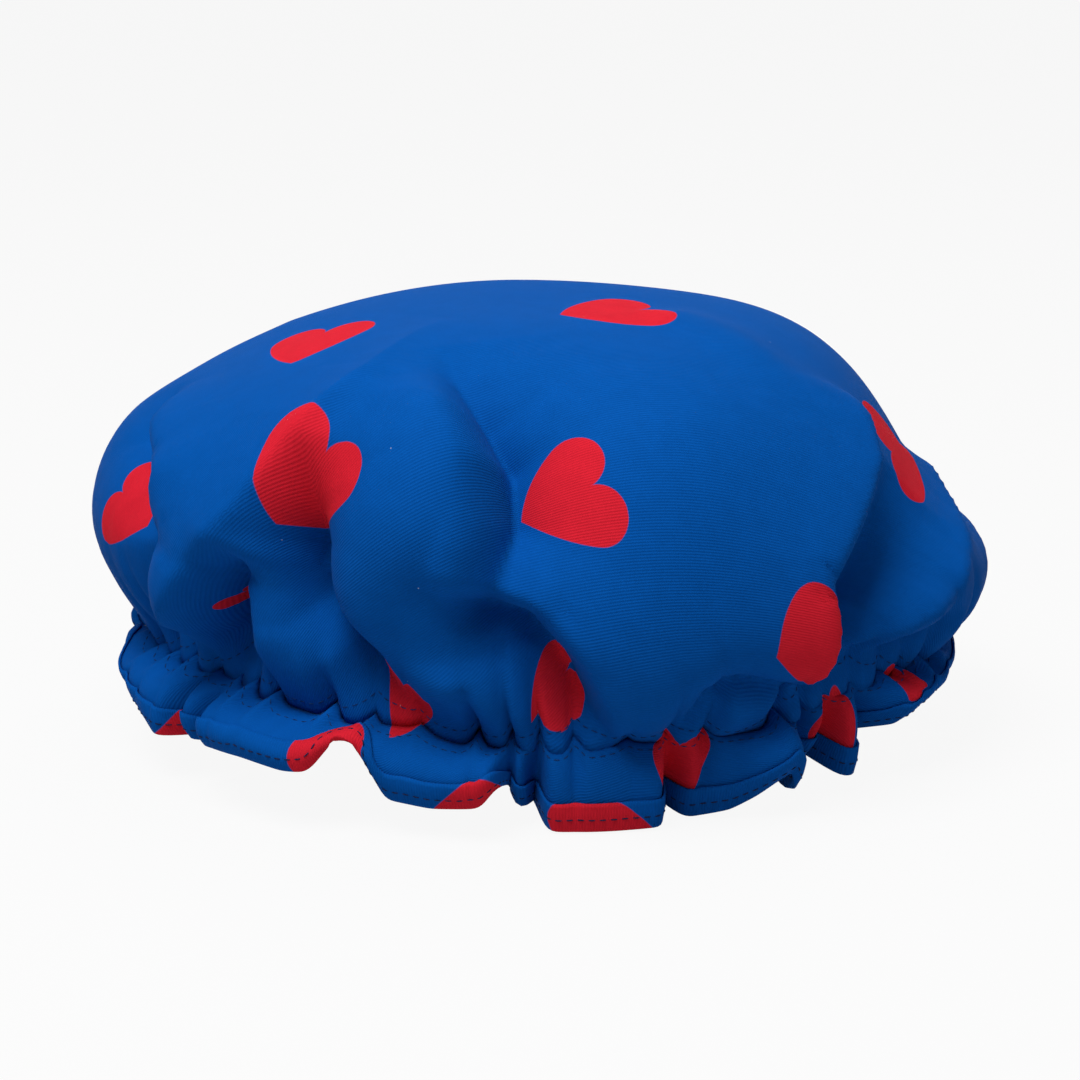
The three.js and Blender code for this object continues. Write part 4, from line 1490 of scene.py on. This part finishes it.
@dataclass
class Studio:
    """Pale floor, soft lights and the camera.

    Attributes:
        lens, sensor: focal length and width of the camera's sensor.
        distance, elevation: how far the camera is from its aim, and how high, in degrees.
        aim: what the camera looks at, from the middle of the gather line.
        air: strength of the light from all round.
    """

    lens: float = 100.0
    sensor: float = 36.0
    distance: float = 980.0
    elevation: float = 14.5
    aim: tuple[float, float, float] = (-1.6, 0.0, 34.0)
    air: float = 0.1

    def lamp(self, name: str, place: tuple[float, float, float], size: float, power: float) -> None:
        """Hang a square lamp that faces the cap.

        Args:
            name: name of the lamp.
            place: where it hangs, in metres.
            size: side of the square, in metres.
            power: power in watts.
        """
        light = bpy.data.lights.new(name, "AREA")
        light.size = size
        light.energy = power
        lamp = bpy.data.objects.new(name, light)
        lamp.location = place
        lamp.rotation_euler = (Vector((0, 0, 0.06)) - Vector(place)).to_track_quat("-Z", "Y").to_euler()
        bpy.context.scene.collection.objects.link(lamp)

    def floor(self) -> None:
        """Lay a large pale floor that shows near white to the camera and keeps the cap's shadow."""
        reach = 14.0
        mesh = bpy.data.meshes.new("studio_floor")
        corners = [(-reach, -reach, 0), (reach, -reach, 0), (reach, reach, 0), (-reach, reach, 0)]
        mesh.from_pydata(corners, [], [(0, 1, 2, 3)])
        sketch = Sketch("floor_paint")
        place = sketch.node("TexCoord", out="Object")
        tone = sketch.span(sketch.noise(place, 3.0), 0.3, 0.7, 0.54, 0.55)
        grey = sketch.node("CombineColor", tone, tone, tone)
        sketch.set(base_color=grey, roughness=0.9, specular_ior_level=0.0)
        glow = sketch.node("Emission", (1.0, 1.0, 1.0, 1.0), 1.0)
        seen = sketch.node("LightPath", out="Is Camera Ray")
        for way in ("Is Glossy Ray", "Is Transmission Ray"):
            seen = sketch.math("MAXIMUM", seen, sketch.node("LightPath", out=way))
        seen = sketch.math("MULTIPLY", seen, 0.92)
        paint = sketch.node("MixShader", seen, sketch.shader.outputs[0], glow)
        sketch.feed(sketch.tree.nodes["Material Output"].inputs["Surface"], paint)
        mesh.materials.append(sketch.material)
        plane = bpy.data.objects.new("studio_floor", mesh)
        bpy.context.scene.collection.objects.link(plane)

    def world(self) -> None:
        """Surround the cap with soft white light that shows plain white to the camera."""
        world = bpy.data.worlds.new("studio_air")
        world.use_nodes = True
        tree = world.node_tree
        back = tree.nodes["Background"]
        back.inputs["Color"].default_value = (1.0, 1.0, 1.0, 1.0)
        path = tree.nodes.new("ShaderNodeLightPath")
        seen = path.outputs["Is Camera Ray"]
        for way in ("Is Glossy Ray", "Is Transmission Ray"):
            either = tree.nodes.new("ShaderNodeMath")
            either.operation = "MAXIMUM"
            tree.links.new(seen, either.inputs[0])
            tree.links.new(path.outputs[way], either.inputs[1])
            seen = either.outputs[0]
        strength = tree.nodes.new("ShaderNodeMath")
        strength.operation = "MULTIPLY_ADD"
        strength.inputs[1].default_value = 1.0 - self.air
        strength.inputs[2].default_value = self.air
        tree.links.new(seen, strength.inputs[0])
        tree.links.new(strength.outputs[0], back.inputs["Strength"])
        bpy.context.scene.world = world

    def camera(self) -> None:
        """Set the camera at the front, a little above the cap, with a long lens."""
        view = bpy.data.cameras.new("camera")
        view.lens = self.lens
        view.sensor_width = self.sensor
        eye = bpy.data.objects.new("camera", view)
        target = Vector(gather_spot()) + Vector(self.aim) * MM
        rise = math.radians(self.elevation)
        eye.location = target + Vector((0, -math.cos(rise), math.sin(rise))) * self.distance * MM
        eye.rotation_euler = (target - eye.location).to_track_quat("-Z", "Y").to_euler()
        bpy.context.scene.collection.objects.link(eye)
        bpy.context.scene.camera = eye

    def build(self) -> None:
        """Set up the whole studio."""
        self.floor()
        self.world()
        self.lamp("key_light", (-0.35, -0.6, 1.35), 0.8, 20.5)
        self.lamp("side_light", (1.1, -0.5, 0.7), 0.7, 1.5)
        self.lamp("top_light", (0.1, 0.5, 1.3), 0.9, 3.8)
        self.camera()
        bpy.context.scene.view_settings.view_transform = "Standard"


@dataclass
class ShowerCap:
    """The whole cap: cloth, lining, binding, elastic tunnel and thread.

    Attributes:
        cloth, lining: thickness of cloth and lining.
        lining_gap: clearance between them.
    """

    form: CapForm = field(default_factory=CapForm)
    print_: HeartPrint = field(default_factory=HeartPrint)
    cloth: float = 0.25
    lining_gap: float = 0.2
    lining: float = 0.15

    def join(self, piece: Piece, slot: Slot, *nodes: str) -> Piece:
        """Let a piece ride on the cap's one body and stand for its nodes.

        Args:
            piece: the piece.
            slot: its material slot; not used.
            nodes: solids that it stands for.

        Returns:
            The same piece.
        """
        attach(piece, BODY)
        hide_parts(*nodes)
        return piece

    def build_layers(
        self, stem: str, slot: Slot, nodes: tuple[str, str], depths: tuple[float, float], finish: Material,
        *printed: HeartPrint | Array
    ) -> tuple[Piece, Piece]:
        """Make one layer of the crown and of the frill.

        Args:
            stem: what the layer is called in the names of its pieces.
            slot: material slot of both pieces.
            nodes: solids that the crown's and the frill's piece stand for.
            depths: depths of the layer's two faces under the cloth's outer face.
            finish: finish of both pieces.
            printed: the heart print and its hearts, where the layer is printed.

        Returns:
            The pieces of the crown and of the frill.
        """
        form = self.form
        crown = ClothLayer("crown_" + stem, form.crown, form.flat_crown(), *depths, True)
        frill = ClothLayer("frill_" + stem, form.skirt, form.flat_skirt(), *depths, False)
        pieces = [layer.build(finish, *printed) for layer in (crown, frill)]
        for piece, node in zip(pieces, nodes):
            self.join(piece, slot, node)
        return tuple(pieces)

    def build_cloth(self) -> tuple[Piece, Piece]:
        """Make the printed crown and frill.

        Returns:
            Crown and frill.
        """
        finish = PrintedCloth("printed_cloth", self.print_).material()
        hearts = self.print_.centres(self.form.gather_radius)
        nodes = ("crown_cloth", "frill_cloth")
        return self.build_layers("sheet", Slot.CLOTH, nodes, (0.0, self.cloth), finish, self.print_, hearts)

    def build_lining(self) -> tuple[Piece, Piece]:
        """Make the lining of crown and frill.

        Returns:
            The two linings.
        """
        outer = self.cloth + self.lining_gap
        nodes = ("crown_lining", "frill_lining")
        finish = LiningFilm().material()
        return self.build_layers("film", Slot.LINING, nodes, (outer, outer + self.lining), finish)

    def build_binding(self) -> list[Piece]:
        """Make the bound hem and its stitches.

        Returns:
            Binding and stitches.
        """
        binding = EdgeBinding(self.form)
        finish = PrintedCloth("binding_cloth", self.print_, rib_turn=90.0).material()
        strip = self.join(binding.build(finish, self.print_), Slot.BINDING, "edge_binding")
        thread = Thread("navy_thread", (0.012, 0.022, 0.075)).material()
        stitches = self.join(binding.build_stitches(thread), Slot.THREAD, "binding_stitching")
        return [strip, stitches]

    def build_tunnel(self) -> list[Piece]:
        """Make the elastic with its splice, tape and two rows of stitches.

        Returns:
            The pieces.
        """
        elastic = Elastic(self.form)
        white = Webbing("white_elastic", (0.86, 0.86, 0.83), 0.08, 0.12, 0.0002).material()
        tape = Webbing("cotton_tape", (0.70, 0.72, 0.74), 0.06, 0.06, 0.00012).material()
        thread = Thread("gather_thread", (0.010, 0.05, 0.19)).material()
        form = self.form
        crown_step = form.gather_radius / form.crown.shape[1]
        frill_step = form.frill / (form.skirt.shape[1] - 1)
        upper = elastic.build_row("upper_row_stitches", form.crown, -crown_step, thread)
        lower = elastic.build_row("lower_row_stitches", form.skirt, frill_step, thread)
        return [
            self.join(elastic.build_loop(white), Slot.ELASTIC, "elastic_band"),
            self.join(elastic.build_splice(thread), Slot.THREAD, "elastic_splice_stitching"),
            self.join(elastic.build_tape(tape), Slot.TAPE, "casing_tape"),
            self.join(upper, Slot.THREAD, "upper_casing_stitching"),
            self.join(lower, Slot.THREAD, "lower_casing_stitching"),
        ]

    def build(self) -> None:
        """Shape the cloth and make every piece."""
        self.form.shape()
        crown, frill = self.build_cloth()
        crown_film, frill_film = self.build_lining()
        trim = self.build_binding()
        self.build_tunnel()


def main() -> None:
    """Build the studio and the cap."""
    logging.basicConfig(level=logging.INFO, format="%(name)s: %(message)s")
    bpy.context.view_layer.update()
    Studio().build()
    ShowerCap().build()


if __name__ == "__main__":
    main()
